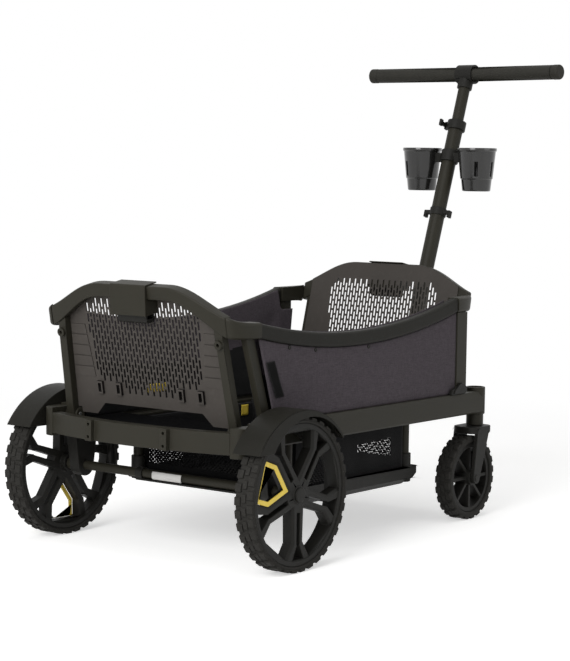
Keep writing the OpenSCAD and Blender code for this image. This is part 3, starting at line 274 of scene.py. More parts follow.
def woven(name, colour, rough, contrast, gloss=0.06):
    """Plain weave: threads both ways, with slubs that run along them."""
    f = Finish(name)
    x, y, z = f.axes()
    weft = (x + y) * (math.pi / THREAD)
    warp = z * (math.pi / THREAD)
    over = weft.sine() * warp.sine()
    slub_across = f.noise(1.0, 3, (70, 70, 900), 0.6)
    slub_up = f.noise(1.0, 3, (900, 900, 70), 0.6)
    mottle = f.noise(320, 3, rough=0.7)
    mix = slub_across * 0.36 + slub_up * 0.36 + mottle * 0.28
    base = f.between(mix.step(0.36, 0.64), shade(colour, 1 - contrast), shade(colour, 1 + contrast))
    # Painted highlight: threads lying on top of the weave are painted lighter
    base = f.between((over + 1.0) * 0.12, base, shade(colour, 1.5))
    return f.surface(
        base, rough, over * 0.5 + mix, 0.00022,
        fixed={"Sheen Weight": gloss, "Sheen Roughness": 0.5, "Specular IOR Level": gloss})


def mesh_cloth(name, pitch, closed):
    """Open net: holes in a staggered pattern."""
    f = Finish(name)
    x, y, z = f.axes()
    wave = ((x + y) * (TURN / pitch)).sine() * (z * (TURN / pitch)).sine()
    yarn = 1 - wave.above(closed)
    cloud = f.noise(60, 2)
    colour = f.between(cloud, shade(WELL_BLACK, 0.8), shade(WELL_BLACK, 1.6))
    return f.surface(colour, 0.7, wave, 0.0003, yarn, {"Specular IOR Level": 0.06})


def cup_plastic():
    """Glossy moulded plastic with a little haze from wiping."""
    f = Finish("cup_plastic")
    cloud = f.noise(22, 3)
    haze = f.noise(420, 3, rough=0.7).step(0.55, 0.75)
    colour = f.between(cloud, shade(CUP_BLACK, 0.85), shade(CUP_BLACK, 1.2))
    return f.surface(colour, 0.16 + cloud * 0.06 + haze * 0.06, haze, 0.00002, fixed={"Coat Weight": 0.3})


def grip_foam():
    """Closed-cell grip with faint rings from its moulding."""
    f = Finish("grip_foam")
    y = f.axes()[1]
    cell = f.cells(700)
    cloud = f.noise(30, 3)
    ring = (y * (TURN / GRIP_RING)).sine()
    colour = f.between(cloud, shade(GRIP_BLACK, 0.8), shade(GRIP_BLACK, 1.25))
    return f.surface(colour, 0.52 + cloud * 0.12, cell + ring * 0.12, 0.00012, fixed=DULL)


def trim_lacquer():
    """Yellow lacquer, a little uneven."""
    f = Finish("trim_lacquer")
    cloud = f.noise(40, 3)
    speck = f.noise(600, 2)
    colour = f.between(cloud, shade(TRIM_YELLOW, 0.90), shade(TRIM_YELLOW, 1.04))
    return f.surface(colour, 0.38 + cloud * 0.10, speck, 0.00003)


def plated_steel():
    """Plated steel, brushed round the pin."""
    f = Finish("plated_steel")
    brushed = f.noise(1.0, 3, (2600, 90, 2600), 0.6)
    colour = f.between(brushed, shade(PIN_GREY, 0.7), shade(PIN_GREY, 1.2))
    return f.surface(colour, 0.28 + brushed * 0.16, brushed, 0.00002, fixed={"Metallic": 1.0})


def webbing(name, colour):
    """Woven tape: fine ribs across it."""
    f = Finish(name)
    x, y = f.axes()[:2]
    ribs = ((x + y) * (TURN / TAPE_RIB)).sine()
    cloud = f.noise(120, 3, rough=0.7)
    base = f.between(cloud, shade(colour, 0.8), shade(colour, 1.15))
    return f.surface(base, 0.8, ribs + cloud * 0.5, 0.00015, fixed={"Specular IOR Level": 0.04})


def bare_plate():
    """A pale plate with light scuffs."""
    f = Finish("bare_plate")
    cloud = f.noise(50, 3)
    scuff = f.noise(400, 3, rough=0.7).step(0.58, 0.75)
    colour = f.between(cloud, shade(PLATE_WHITE, 0.94), shade(PLATE_WHITE, 1.04))
    colour = f.between(scuff * 0.2, colour, shade(PLATE_WHITE, 0.7))
    return f.surface(colour, 0.42 + cloud * 0.12, scuff, 0.00002)


FINISH = {
    "frame": powder_coat(),
    "moulded": moulded_plastic("moulded_black", MOULDED_BLACK, 0.46),
    "panel": moulded_plastic("moulded_brown", PANEL_BROWN, 0.50, grain=1300, depth=0.00010, painted_slot_shade=True),
    "tyre": tyre_rubber(),
    "side_cloth": woven("side_cloth", CLOTH_PLUM, 0.85, 0.30),
    "well_cloth": woven("well_cloth", WELL_BLACK, 0.82, 0.25),
    "cup": cup_plastic(),
    "grip": grip_foam(),
    "trim": trim_lacquer(),
    "steel": plated_steel(),
}
FINE_NET = mesh_cloth("fine_net", pitch=0.0092, closed=-0.04)
WIDE_NET = mesh_cloth("wide_net", pitch=0.0150, closed=-0.30)
TAG_CLOTH = webbing("tag_cloth", TAG_BLACK)
TAG_EDGE = webbing("tag_edge", shade(TAG_BLACK, 2.5))
WEBBING = webbing("yellow_webbing", TRIM_YELLOW)
RAIL_PLASTIC = moulded_plastic("rail_plastic", RAIL_BLACK, 0.44, gloss=0.10)
BENCH_CLOTH = woven("bench_cloth", WELL_BLACK, 0.95, 0.2, gloss=0.0)
PLATE = bare_plate()


# Rigid pieces: softened edges and their finishes

EDGE = 0.0011
FINE_EDGE = 0.0004
ROUND_EDGE = 0.0030
EDGE_STEPS = 2
SHARP = math.radians(34)
FLAT = math.radians(0.5)
SAME_POINT = 1e-5
WHEEL_WORDS = ("tyre", "rim")


def edge_width(name):
    if "panel" in name:
        return FINE_EDGE
    return ROUND_EDGE if "wall_rail" in name else EDGE


def weld(piece):
    piece.modifiers.new("joined", "WELD").merge_threshold = SAME_POINT


def round_edges(piece, width):
    edge = piece.modifiers.new("edge", "BEVEL")
    edge.width = width
    edge.segments = EDGE_STEPS
    edge.limit_method = "ANGLE"
    piece.modifiers.new("normals", "WEIGHTED_NORMAL").keep_sharp = False
    return edge


def soften(node):
    """Joins a solid's faces, clears seams in its flat ones and rounds its sharp edges."""
    weld(node)
    if not any(word in node.name for word in WHEEL_WORDS):
        flat = node.modifiers.new("flat", "DECIMATE")
        flat.decimate_type = "DISSOLVE"
        flat.angle_limit = FLAT
    edge = round_edges(node, edge_width(node.name))
    edge.angle_limit = SHARP
    edge.use_clamp_overlap = False


def dress(node, finish):
    node.data.materials.clear()
    node.data.materials.append(finish)


SOFT_NODES = ("side_fabric_left", "side_fabric_right", "footwell_sides")
RAIL_NODES = ("side_rail_left", "side_rail_right", "fenders")
for name, node in NODES.items():
    dress(node, FINISH[SLOT_OF[name]])
    if name not in SOFT_NODES:
        soften(node)
dress(NODES["seat_boards"], BENCH_CLOTH)
for name in RAIL_NODES:
    dress(NODES[name], RAIL_PLASTIC)


# Making of pieces

AROUND = 20


def make_mesh(name, verts, faces, body, slot, finishes=None, face_finish=None):
    data = bpy.data.meshes.new(name)
    data.from_pydata(verts, [], faces)
    for finish in finishes or [FINISH[slot]]:
        data.materials.append(finish)
    if face_finish:
        data.polygons.foreach_set("material_index", face_finish)
    data.polygons.foreach_set("use_smooth", [True] * len(faces))
    data.update()
    piece = link(name, data)
    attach(piece, body)
    return piece


def grid_points(columns, rows, point):
    return [point(i / (columns - 1), j / (rows - 1)) for j in range(rows) for i in range(columns)]


def grid_faces(columns, rows):
    return [
        (j * columns + i, j * columns + i + 1, (j + 1) * columns + i + 1, (j + 1) * columns + i)
        for j in range(rows - 1) for i in range(columns - 1)
    ]


def sheet_mesh(name, columns, rows, point, body, slot, finish=None):
    """A grid of points, each placed by its shares along and up the sheet."""
    verts = grid_points(columns, rows, point)
    return make_mesh(name, verts, grid_faces(columns, rows), body, slot, finish and [finish])


def thicken(piece, thickness):
    solid = piece.modifiers.new("cloth", "SOLIDIFY")
    solid.thickness = thickness
    solid.offset = 0.0
    solid.use_even_offset = True


def turned(name, profile, place, turn, body, slot):
    """A round piece: its profile is (radius, height) pairs from the axis to the axis."""
    verts = []
    for radius, height in profile:
        for k in range(AROUND):
            a = TURN * k / AROUND
            verts.append(place + turn @ Vector((radius * math.cos(a), radius * math.sin(a), height)))
    faces = []
    for j in range(0, len(verts) - AROUND, AROUND):
        for k in range(AROUND):
            n = (k + 1) % AROUND
            faces.append((j + k, j + n, j + AROUND + n, j + AROUND + k))
    faces.append(tuple(reversed(range(AROUND))))
    faces.append(tuple(range(len(verts) - AROUND, len(verts))))
    make_mesh(name, verts, faces, body, slot)


def slab(name, outline, y0, y1, body, slot):
    """An outline in x and z, given some width across the wagon."""
    n = len(outline)
    verts = [(x, y, z) for y in (y0, y1) for x, z in outline]
    faces = [tuple(range(n)), tuple(reversed(range(n, 2 * n)))]
    faces += [(i, i + n, (i + 1) % n + n, (i + 1) % n) for i in range(n)]
    piece = make_mesh(name, verts, faces, body, slot)
    piece.data.polygons.foreach_set("use_smooth", [False] * len(faces))
    return piece


def cloth_area(piece):
    return sum(polygon.area for polygon in piece.data.polygons)


def lerp(a, b, t):
    return a + (b - a) * t


def ease(low, high, x):
    t = min(1, max(0, (x - low) / (high - low)))
    return t * t * (3 - 2 * t)


def along(line, x):
    """The height of a line of (x, z) points at some x."""
    for (x0, z0), (x1, z1) in zip(line, line[1:]):
        if x <= x1:
            return lerp(z0, z1, (x - x0) / (x1 - x0))
    return line[-1][1]


# Rigid pieces shown with less than their solids have: skins of the grilles and trims, and split spokes

BLOCK_FACES = ((0, 1, 3, 2), (4, 6, 7, 5), (0, 4, 5, 1), (2, 3, 7, 6), (0, 2, 6, 4), (1, 5, 7, 3))
GRILLE_SKIN = 0.0022
TRIM_SKIN = 0.003
BEHIND = 0.06
PAST_EDGES = 1.2
FACING = 0.9
SPOKES = 5
SPLIT = (0.035, 0.097)
SPLIT_WIDTH = 0.010
PAST_RIM = 0.08
TRIM_TURN = {"left": 270, "right": 162}


def block(place, turn, size):
    """The corners of a block, turned about its middle."""
    half = Vector(size) / 2
    signs = [(i, j, k) for i in (-1, 1) for j in (-1, 1) for k in (-1, 1)]
    return [place + turn @ Vector((i * half.x, j * half.y, k * half.z)) for i, j, k in signs]


def cut_away(name, body, blocks):
    """Shows a node with some blocks taken out of it."""
    verts, faces = [], []
    for corners in blocks:
        faces += [tuple(len(verts) + i for i in face) for face in BLOCK_FACES]
        verts += corners
    data = bpy.data.meshes.new("blocks")
    data.from_pydata(verts, [], faces)
    cutter = link("blocks", data)
    whole = link("whole", NODES[name].data.copy())
    weld(whole)
    cut = whole.modifiers.new("cut", "BOOLEAN")
    cut.operation = "DIFFERENCE"
    cut.solver = "EXACT"
    cut.object = cutter
    seen = whole.evaluated_get(bpy.context.evaluated_depsgraph_get())
    piece = link(name + "_shown", bpy.data.meshes.new_from_object(seen))
    for spare in (cutter, whole):
        bpy.data.objects.remove(spare)
    dress(piece, FINISH[SLOT_OF[name]])
    soften(piece)
    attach(piece, body)
    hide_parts(name)


def skin(name, body, outward, depth):
    """Keeps a node's outer face and takes away what lies deeper than some depth behind it."""
    data = NODES[name].data
    faces = [p for p in data.polygons if p.normal.dot(outward) > FACING]
    face = max(faces, key=lambda p: p.area)
    normal = face.normal.copy()
    across = normal.cross(Vector((0, 0, 1))).normalized()
    turn = Matrix((normal, across, normal.cross(across))).transposed()
    on_face = middle(name) + normal * (face.center - middle(name)).dot(normal)
    place = on_face - normal * (depth + BEHIND / 2)
    cut_away(name, body, [block(place, turn, (BEHIND, PAST_EDGES, PAST_EDGES))])


def split_spokes(side, first):
    """Splits each spoke in two, from near the hub out to the small window at the rim."""
    name = "rear_rim_" + side
    centre = middle(name)
    blocks = []
    for i in range(SPOKES):
        turn = Matrix.Rotation(-math.radians(first + 360 / SPOKES * i), 3, "Y")
        place = centre + turn @ Vector(((SPLIT[0] + SPLIT[1]) / 2, 0, 0))
        blocks.append(block(place, turn, (SPLIT[1] - SPLIT[0], PAST_RIM, SPLIT_WIDTH)))
    cut_away(name, "rear_wheel_" + side, blocks)


skin("rear_wall_panel", "rear_wall", Vector((-1, 0, 0)), GRILLE_SKIN)
skin("front_wall_panel", "front_wall", Vector((1, 0, 0)), GRILLE_SKIN)
for side, out in OUTWARD.items():
    split_spokes(side, TRIM_TURN[side] + 180 / SPOKES)
    skin("rear_trim_" + side, "rear_wheel_" + side, Vector((0, out, 0)), TRIM_SKIN)


# Side cloths: one outside between the posts, a lining inside over the rail and the posts

FOOT_BAND = 0.001
TOP_ABOVE = 0.05
CLOTH = 0.0022
CLOTH_GRID = (129, 41)
BELLY = 0.0026
SLACK = 0.00042
SNAP_X = (-0.419, -0.334, -0.152)
SNAP_PULL = 0.0008
SNAP_REACH = 0.009
SNAP_DROP = 0.0048
SNAP_STAND = 0.00126
SNAP_PROFILE = (
    (0.0002, 0.0), (0.0042, 0.0), (0.0045, 0.0006), (0.0041, 0.0013),
    (0.0030, 0.0016), (0.0026, 0.0012), (0.0004, 0.0011),
)
LINING = 0.001
LINING_GRID = (161, 61)
LINING_Y = 0.2281
LINING_FOOT = 0.2535
LINING_REAR = (-0.480, -0.537)
LINING_FRONT = (0.196, 0.217)
LINING_OUT = 0.0022
ONTO_RAIL = (-0.004, 0.010)
ABOVE_RAIL = 0.0008
CORNER_TOP = 0.4445
PAINTED_SHADE_BELOW = 0.098
BESIDE_POSTS = (0.006, 0.040)
BELOW_TOP = (0.004, 0.050)
FOLDS_BEGIN = (0.286, 0.316)
FOLD_MEAN = 0.0042
FOLD_DEPTH = 0.0021
TAG = ((-0.463, 0.329), (-0.438, 0.331), (-0.4695, 0.402), (-0.4945, 0.3995))
TAG_CLEAR = 0.0015
TAG_WAVE = 0.0004
TAG_GRID = (12, 42)
TAG_THICK = 0.0008
TAB_PLACE = (-0.262, 0.296)
TAB_SIZE = (0.060, 0.018)
TAB_GRID = (14, 10)
TAB_CLEAR = 0.0007
TAB_BULGE = 0.0003
TAB_THICK = 0.0006


def outer_points(side):
    """The cloth node's foot, its slanted rear edge and its swept top, seen from the side."""
    points = {(round(v.co.x, 5), round(v.co.z, 5)) for v in NODES["side_fabric_" + side].data.vertices}
    foot = min(z for x, z in points)
    ends = [x for x, z in points if z < foot + FOOT_BAND]
    top = {}
    for x, z in points:
        if z > foot + TOP_ABOVE:
            top[x] = max(z, top.get(x, 0))
    return foot, min(ends), max(ends), sorted(top.items())


def top_line(node, steps=72):
    """A node's upper edge, seen from the side."""
    data = NODES[node].data
    ends = [[data.vertices[i].co for i in edge.vertices] for edge in data.edges]
    low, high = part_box(node)
    line = []
    for i in range(1, steps):
        x = lerp(low[0], high[0], i / steps)
        crossed = [(p, q) for p, q in ends if (p.x < x) != (q.x < x)]
        line.append((x, max(lerp(p.z, q.z, (x - p.x) / (q.x - p.x)) for p, q in crossed)))
    return line


def mound(distance, width):
    return math.exp(-(distance / width) ** 2)


def outer_cloth(side):
    """The cloth outside: stretched flat, a little slack along its foot and drawn in at its snaps."""
    node = "side_fabric_" + side
    foot, rear, front, top = outer_points(side)
    low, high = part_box(node)
    out = OUTWARD[side]
    face = (low[1] + high[1]) / 2

    def point(s, t):
        x_top = lerp(top[0][0], front, s)
        x = lerp(lerp(rear, front, s), x_top, t)
        z = lerp(foot, along(top, x_top), t)
        swell = (math.sin(math.pi * s) ** 0.5) * math.sin(math.pi * t) ** 0.7
        near_top = mound(1 - t, 0.16)
        pull = sum(mound(x - k, SNAP_REACH) for k in SNAP_X) * near_top
        ripple = math.sin(41 * s + 3 * t) * mound(t, 0.22)
        crease = math.sin(17 * s - 7 * t + 1.3) * math.sin(4 * t + 2 * s) * swell
        slack = (ripple + crease) * min(1, 12 * s, 12 * (1 - s))
        return (x, face + out * (BELLY * swell - SNAP_PULL * pull + SLACK * slack), z)

    piece = sheet_mesh("side_cloth_" + side, *CLOTH_GRID, point, "chassis", "side_cloth")
    thicken(piece, CLOTH)
    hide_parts(node)
    return piece, (front - top[0][0], max(z for x, z in top) - foot), face


def lining(side):
    """The cloth inside: over the rail's inner face, loose below it and drawn tight over both posts."""
    out = OUTWARD[side]
    foot, rear, front, top = outer_points(side)
    rail_top = top_line("side_rail_" + side)
    rear_x, front_x = rail_top[0][0], rail_top[-1][0]

    def head(x):
        on_rail = ease(*ONTO_RAIL, x - rear_x) * ease(*ONTO_RAIL, front_x - x)
        return lerp(CORNER_TOP, along(rail_top, x) + ABOVE_RAIL, on_rail)

    def point(s, t):
        x_top = lerp(LINING_REAR[1], LINING_FRONT[1], s)
        z = lerp(LINING_FOOT, head(x_top), t)
        x = lerp(lerp(LINING_REAR[0], LINING_FRONT[0], s), x_top, t)
        clear_rear = x - lerp(rear, top[0][0], (z - foot) / (top[0][1] - foot))
        open_share = ease(*BESIDE_POSTS, clear_rear) * ease(*BESIDE_POSTS, front - x)
        under = along(top, min(max(x, top[0][0]), front)) - z
        loose = ease(*BELOW_TOP, under) * ease(*FOLDS_BEGIN, z) * open_share
        fold = math.sin(21 * x + 34 * z + 1.1)
        fold += 0.6 * math.sin(47 * x - 26 * z) + 0.4 * math.sin(9 * x + 71 * z)
        stand = LINING_OUT * open_share + loose * (FOLD_MEAN + FOLD_DEPTH * fold)
        return (x, out * (LINING_Y + stand), z)

    piece = sheet_mesh("side_lining_" + side, *LINING_GRID, point, "chassis", "side_cloth")
    # Painted shade: below a plum band under its head the lining takes the black cloth, to darken the shadowed
    # inside of the wagon
    piece.data.materials.append(FINISH["well_cloth"])
    for polygon in piece.data.polygons:
        if polygon.center.z < head(polygon.center.x) - PAINTED_SHADE_BELOW:
            polygon.material_index = 1
    thicken(piece, LINING)
    return piece, (LINING_FRONT[1] - LINING_REAR[1], max(z for x, z in rail_top) - LINING_FOOT)


def snap(side, x, y, z):
    """A press stud, named for its place in millimetres."""
    name = "snap_%s_%d" % (side, round(-1000 * x))
    turn = Matrix.Rotation(-OUTWARD[side] * math.pi / 2, 3, "X")
    turned(name, SNAP_PROFILE, Vector((x, y, z)), turn, "chassis", "moulded")


def tag(side, face):
    """A bare woven tag beside the rear post, with a stitched edge."""
    out = OUTWARD[side]

    def point(s, t):
        x = lerp(lerp(TAG[0][0], TAG[1][0], s), lerp(TAG[3][0], TAG[2][0], s), t)
        z = lerp(lerp(TAG[0][1], TAG[1][1], s), lerp(TAG[3][1], TAG[2][1], s), t)
        return (x, face + out * (BELLY + TAG_CLEAR + TAG_WAVE * math.sin(7 * t + 2 * s)), z)

    columns, rows = TAG_GRID
    piece = sheet_mesh("side_tag_" + side, columns, rows, point, "chassis", "side_cloth", TAG_CLOTH)
    piece.data.materials.append(TAG_EDGE)
    for number, polygon in enumerate(piece.data.polygons):
        row, column = divmod(number, columns - 1)
        if min(row, rows - 2 - row) == 0 or min(column, columns - 2 - column) == 0:
            polygon.material_index = 1
    thicken(piece, TAG_THICK)
    return piece


def pull_tab():
    """A folded loop of webbing sewn to the left lining."""
    def point(s, t):
        x = TAB_PLACE[0] + (s - 0.5) * TAB_SIZE[0]
        z = TAB_PLACE[1] + (t - 0.5) * TAB_SIZE[1]
        return (x, LINING_Y - TAB_CLEAR - TAB_BULGE * math.sin(math.pi * t), z)

    piece = sheet_mesh("lining_tab", *TAB_GRID, point, "chassis", "trim", WEBBING)
    thicken(piece, TAB_THICK)
    return piece


def dress_sides():
    for side, out in OUTWARD.items():
        cloth, flat, face = outer_cloth(side)
        top = outer_points(side)[-1]
        sewn_on = [tag(side, face)]
        for x in SNAP_X:
            snap(side, x, face + out * SNAP_STAND, along(top, x) - SNAP_DROP)
        cloth_area(cloth)
        inner, inner_flat = lining(side)
        tabs = [pull_tab()] if side == "left" else []
        cloth_area(inner)


dress_sides()


# Footwell walls: black cloth with net windows

WELL_Z = [corner[2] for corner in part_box("footwell_sides")]
WELL_LIFT = next(j["range_m"][1] for j in frame["joints"] if j["name"] == "footwell_lift")
WELL_CLOTH = 0.0018
WELL_HALF = 0.2055
WELL_IN = 0.002
WELL_SAG = 0.0015
WELL_RIPPLE = 0.0008
WINDOW_COLUMNS = 18
PLAIN_COLUMNS = 8
BAND_ROWS = 8
HEM_ROWS = 7
HEM_COLUMNS = 25
HEM_DROP = 0.001
APRON_HALF = 0.2145
APRON_RISE = 0.0033
UNDER_BOARD = 0.005
LABEL_X = (0.000, 0.024)
LABEL_Z = (0.213, 0.237)
LABEL_GRID = (8, 8)
LABEL_CLEAR = 0.0024
LABEL_BULGE = 0.0002
LABEL_THICK = 0.0006
PLAIN, FINE, WIDE = 0, 1, 2
# Each window: from and to along the wall, its lower and upper edge at both ends, and its net
SIDE_WINDOWS = (
    (0.02, 0.36, (0.10, 0.62), (0.10, 0.62), FINE),
    (0.555, 0.88, (0.55, 0.67), (0.38, 0.70), FINE),
)
REAR_WINDOWS = ((0.05, 0.95, (0.24, 0.90), (0.24, 0.90), FINE),)
FRONT_WINDOWS = ((0.06, 0.94, (0.08, 0.66), (0.08, 0.66), WIDE),)


def well_wall(verts, faces, finish, start, end, windows):
    """A hanging wall from its start to its end corner, with net windows whose edges its grid follows."""
    first = len(verts)
    stops = [0] + [share for window in windows for share in window[:2]] + [1]
    shares, nets = [0.0], []
    for k, (a, b) in enumerate(zip(stops, stops[1:])):
        steps = WINDOW_COLUMNS if k % 2 else PLAIN_COLUMNS
        shares += [lerp(a, b, (i + 1) / steps) for i in range(steps)]
        nets += [windows[k // 2][4] if k % 2 else PLAIN] * steps
    edges = []
    for which in (0, 1):
        line = [(share, ends[which]) for window in windows for share, ends in zip(window[:2], window[2:4])]
        edges.append([(0, line[0][1])] + line + [(1, line[-1][1])])
    columns, rows = len(shares), 3 * BAND_ROWS + 1
    foot, head = WELL_Z
    normal = Vector((end[1] - start[1], start[0] - end[0])).normalized()
    for j in range(rows):
        band, step = divmod(j, BAND_ROWS)
        for s in shares:
            levels = (0, along(edges[0], s), along(edges[1], s), 1, 1)
            t = lerp(levels[band], levels[band + 1], step / BAND_ROWS)
            x = lerp(start[0], end[0], s)
            y = lerp(start[1], end[1], s)
            hang = math.sin(math.pi * s) * math.sin(math.pi * t)
            ripple = math.sin(29 * s + 4 * t) * math.sin(math.pi * t) * min(1, 9 * s, 9 * (1 - s))
            push = WELL_SAG * hang + WELL_RIPPLE * ripple
            verts.append((x + push * normal.x, y + push * normal.y, lerp(foot, head, t)))
    for number, face in enumerate(grid_faces(columns, rows)):
        row, column = divmod(number, columns - 1)
        faces.append(tuple(first + k for k in face))
        finish.append(nets[column] if row // BAND_ROWS == 1 else PLAIN)


def mirrored(windows):
    """The same windows on a wall that runs the other way."""
    return [(1 - b, 1 - a, at_b, at_a, net) for a, b, at_a, at_b, net in reversed(windows)]


def well_label():
    """A bare yellow label sewn inside the left wall, near its front end."""
    def point(s, t):
        y = WELL_HALF - LABEL_CLEAR - LABEL_BULGE * math.sin(math.pi * s)
        return (lerp(*LABEL_X, s), y, lerp(*LABEL_Z, t))

    piece = sheet_mesh("well_label", *LABEL_GRID, point, "chassis", "trim", WEBBING)
    thicken(piece, LABEL_THICK)
    return piece


def hem_strip(verts, faces, finish, point):
    """A flat strip of cloth from a wall's top out to the frame or under a seat board."""
    first = len(verts)
    verts += grid_points(HEM_COLUMNS, HEM_ROWS, point)
    strip = [tuple(first + k for k in face) for face in grid_faces(HEM_COLUMNS, HEM_ROWS)]
    faces += strip
    finish += [PLAIN] * len(strip)


def footwell_walls():
    """Four walls and their hems."""
    low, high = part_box("footwell_sides")
    x0, x1 = low[0] + WELL_IN, high[0] - WELL_IN
    boards = [v.co.x for v in NODES["seat_boards"].data.vertices]
    rear_end = max(x for x in boards if x < x0) - UNDER_BOARD
    front_end = min(x for x in boards if x > x1) + UNDER_BOARD
    half = WELL_HALF
    corners = [(x0, -half), (x1, -half), (x1, half), (x0, half)]
    windows = (SIDE_WINDOWS, FRONT_WINDOWS, mirrored(SIDE_WINDOWS), REAR_WINDOWS)
    verts, faces, finish = [], [], []
    for start, end, openings in zip(corners, corners[1:] + corners[:1], windows):
        well_wall(verts, faces, finish, start, end, openings)
    for out in OUTWARD.values():
        hem_strip(verts, faces, finish, lambda s, t: (
            lerp(x0, x1, s), out * lerp(half, high[1], t), WELL_Z[1] - HEM_DROP))
    for start, end in ((x0, rear_end), (x1, front_end)):
        hem_strip(verts, faces, finish, lambda s, t: (
            lerp(start, end, t),
            lerp(-APRON_HALF, APRON_HALF, s),
            WELL_Z[1] + APRON_RISE * ease(-0.1, 0.3, t)))
    finishes = [FINISH["well_cloth"], FINE_NET, WIDE_NET]
    piece = make_mesh("footwell_walls", verts, faces, "chassis", "well_cloth", finishes, finish)
    thicken(piece, WELL_CLOTH)
    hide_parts("footwell_sides")
    label = well_label()
    height = WELL_Z[1] - WELL_Z[0]
    deepest_hem = max(high[1] - half, x0 - rear_end, front_end - x1)
    height + deepest_hem
    keep = 1 - WELL_LIFT / height
    for hung in (piece, label):
        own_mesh(hung)


footwell_walls()


# Small fittings

PLATE_ARC = (218, 142)
PLATE_ENDS = (0.044, -0.033)
PLATE_GRID = (24, 14)
PLATE_THICK = 0.0003
CLIP_FACE = 0.2545
CLIP_BODY = (
    (0.150, 0.2845), (0.206, 0.2845), (0.214, 0.290), (0.206, 0.3045),
    (0.192, 0.309), (0.176, 0.300), (0.154, 0.2955),
)
CLIP_TONGUE = ((0.158, 0.2865), (0.171, 0.2865), (0.187, 0.3035), (0.182, 0.3075), (0.162, 0.2945))
BODY_DEPTH = (0.0, 0.0075)
TONGUE_DEPTH = (0.0070, 0.0100)
BODY_EDGE = 0.0014
TONGUE_EDGE = 0.0008


def axle_plate():
    """A bare pale plate wrapped on the back of the axle."""
    low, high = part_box("rear_axle")
    centre = middle("rear_axle")
    radius = (high[2] - low[2]) / 2 + PLATE_THICK

    def point(s, t):
        a = math.radians(lerp(*PLATE_ARC, t))
        return (centre.x + radius * math.cos(a), lerp(*PLATE_ENDS, s), centre.z + radius * math.sin(a))

    piece = sheet_mesh("axle_plate", *PLATE_GRID, point, "chassis", "trim", PLATE)
    solid = piece.modifiers.new("plate", "SOLIDIFY")
    solid.thickness = PLATE_THICK
    solid.offset = 1.0


def post_clips():
    """A clip at the foot of each front post, which holds the cloth's lower corner."""
    shapes = (
        ("clip_body_", CLIP_BODY, BODY_DEPTH, BODY_EDGE),
        ("clip_tongue_", CLIP_TONGUE, TONGUE_DEPTH, TONGUE_EDGE),
    )
    for side, out in OUTWARD.items():
        for name, outline, depth, edge in shapes:
            back, front = (out * (CLIP_FACE + d) for d in depth)
            piece = slab(name + side, outline, back, front, "chassis", "moulded")
            round_edges(piece, edge)


# Corner caps

CAP_INNER = 0.228
CAP_WIDTH = 0.030
CAP_ROUND = 0.007
CAP_STEPS = 18
ROUND_STEPS = 4
CAP_OVER_RAIL = 0.001
END_DEPTH = 0.0005
CAP_SETBACK = {"rear": 0.0, "front": 0.0145}
CAP_DROP = {"rear": 0.0, "front": 0.006}


def end_points(node, axis, sign):
    """A node's points at its far end along one axis."""
    points = [v.co for v in NODES[node].data.vertices]
    end = max(sign * p[axis] for p in points)
    return [p for p in points if sign * p[axis] > end - END_DEPTH]


def corner_cap(verts, faces, wall, way, side):
    """A round corner from an end wall's arch to a side rail, with rounded upper and lower edges."""
    out = OUTWARD[side]
    arch = end_points(wall + "_wall_rail", 1, out)
    rail = end_points("side_rail_" + side, 0, way)
    arch_top, foot = max(p.z for p in arch), min(p.z for p in arch)
    top = arch_top - CAP_DROP[wall]
    half_way = (arch_top + foot) / 2
    rail_x = rail[0].x
    rail_top = max(p.z for p in rail) + CAP_OVER_RAIL
    rail_foot = min(p.z for p in rail)
    length_top = max(way * (p.x - rail_x) for p in arch if p.z > half_way) - CAP_SETBACK[wall]
    length_foot = max(way * (p.x - rail_x) for p in arch if p.z <= half_way) - CAP_SETBACK[wall]
    first = len(verts)
    arcs = [math.pi / 2 * k / ROUND_STEPS for k in range(ROUND_STEPS + 1)]
    for i in range(CAP_STEPS + 1):
        turn = math.pi / 2 * i / CAP_STEPS
        high = lerp(top, rail_top, math.sin(turn))
        low = lerp(foot, rail_foot, math.sin(turn))
        edge = [(1 - math.sin(a), low + CAP_ROUND * (1 - math.cos(a))) for a in arcs]
        edge += [(1 - math.cos(a), high - CAP_ROUND * (1 - math.sin(a))) for a in arcs]
        section = []
        for depth, z in edge:
            length = lerp(length_foot, length_top, (z - low) / (high - low))
            inward = Vector((CAP_WIDTH * math.cos(turn), length * math.sin(turn))).normalized()
            x = length * math.cos(turn) - CAP_ROUND * depth * inward.x
            y = CAP_INNER + CAP_WIDTH * math.sin(turn) - CAP_ROUND * depth * inward.y
            section.append((rail_x + way * x, out * y, z))
        section += [(p[0], out * CAP_INNER, p[2]) for p in (section[-1], section[0])]
        verts += section
    count = len(section)
    last = len(verts) - count
    made = [tuple(range(first + count - 1, first - 1, -1)), tuple(range(last, last + count))]
    for i in range(first, last, count):
        for k in range(count):
            n = (k + 1) % count
            made.append((i + k, i + n, i + count + n, i + count + k))
    faces += [face[::-1] for face in made] if way == out else made


def corner_caps():
    """All four caps, as one piece of the chassis."""
    verts, faces = [], []
    for wall, way in (("rear", -1), ("front", 1)):
        for side in OUTWARD:
            corner_cap(verts, faces, wall, way, side)
    piece = make_mesh("corner_caps_shown", verts, faces, "chassis", SLOT_OF["corner_caps"])
    weld(piece)
    round_edges(piece, FINE_EDGE)
    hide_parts("corner_caps")


axle_plate()
post_clips()
corner_caps()


# Floor, backdrop and light

FLOOR_GLOW = 0.50
FLOOR_FADE = (1.1, 2.6)
FLOOR_REACH = 14
WHITE = tone(1, 1, 1)
SKY_LIGHT = 0.32
# Each softbox: its place, what it points at, its size and its power
SOFTBOXES = {
    "top_box": ((-0.3, -0.3, 3.4), (0, 0, 0.3), (2.6, 2.6), 24),
    "left_box": ((-3.4, -0.5, 1.8), (0, 0, 0.35), (2.0, 2.0), 92),
    "right_box": ((0.6, -3.4, 1.3), (0, 0, 0.35), (2.2, 1.8), 14),
}


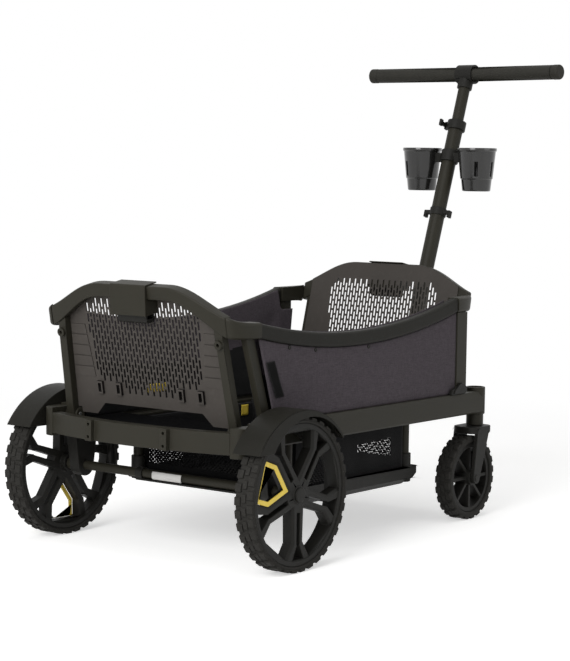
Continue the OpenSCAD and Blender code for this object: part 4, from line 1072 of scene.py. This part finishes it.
def shown_rays(f):
    """1 where the background itself is seen, plainly, in a reflection or through a clear piece."""
    rays = f.node("LightPath").socket.node.outputs
    seen = Value(f, rays["Is Camera Ray"])
    for ray in ("Is Glossy Ray", "Is Transmission Ray"):
        seen = seen.most(Value(f, rays[ray]))
    return seen


def studio_floor():
    """Pale paper that keeps the shadow near the wagon and fades to white further out."""
    f = Finish("studio_floor")
    x, y = f.axes()[:2]
    away = (x * x + y * y).math("SQRT")
    speckle = f.noise(3, 2)
    paper = f.between(speckle, tone(0.88, 0.878, 0.868), tone(0.90, 0.898, 0.888))
    matt = f.node("BsdfDiffuse", None, {"Color": paper})
    glow = f.node("Emission", None, {"Color": WHITE, "Strength": FLOOR_GLOW})
    white = f.node("Emission", None, {"Color": WHITE, "Strength": 1.0})
    near = f.node("AddShader", None, (matt, glow))
    paper_seen = f.node("MixShader", None, (away.step(*FLOOR_FADE), near, white))
    floor_shader = f.node("MixShader", None, (shown_rays(f), matt, paper_seen))
    f.node("OutputMaterial", None, (floor_shader,))
    data = bpy.data.meshes.new("floor")
    corners = [(x * FLOOR_REACH, y * FLOOR_REACH, 0) for x, y in ((-1, -1), (1, -1), (1, 1), (-1, 1))]
    data.from_pydata(corners, [], [(0, 1, 2, 3)])
    data.materials.append(f.owner)
    floor = link("floor", data)


def studio_world():
    f = Finish("studio", bpy.data.worlds.new("studio"))
    strength = SKY_LIGHT + shown_rays(f) * (1 - SKY_LIGHT)
    sky = f.node("Background", None, {"Color": WHITE, "Strength": strength})
    f.node("OutputWorld", None, (sky,))
    bpy.context.scene.world = f.owner


def softbox(name, place, target, size, power):
    data = bpy.data.lights.new(name, "AREA")
    data.shape = "RECTANGLE"
    data.size, data.size_y = size
    data.energy = power
    lamp = link(name, data)
    lamp.location = place
    lamp.rotation_euler = (Vector(target) - Vector(place)).to_track_quat("-Z", "Y").to_euler()


studio_floor()
studio_world()
for name, settings in SOFTBOXES.items():
    softbox(name, *settings)
bpy.context.scene.view_settings.view_transform = "Standard"
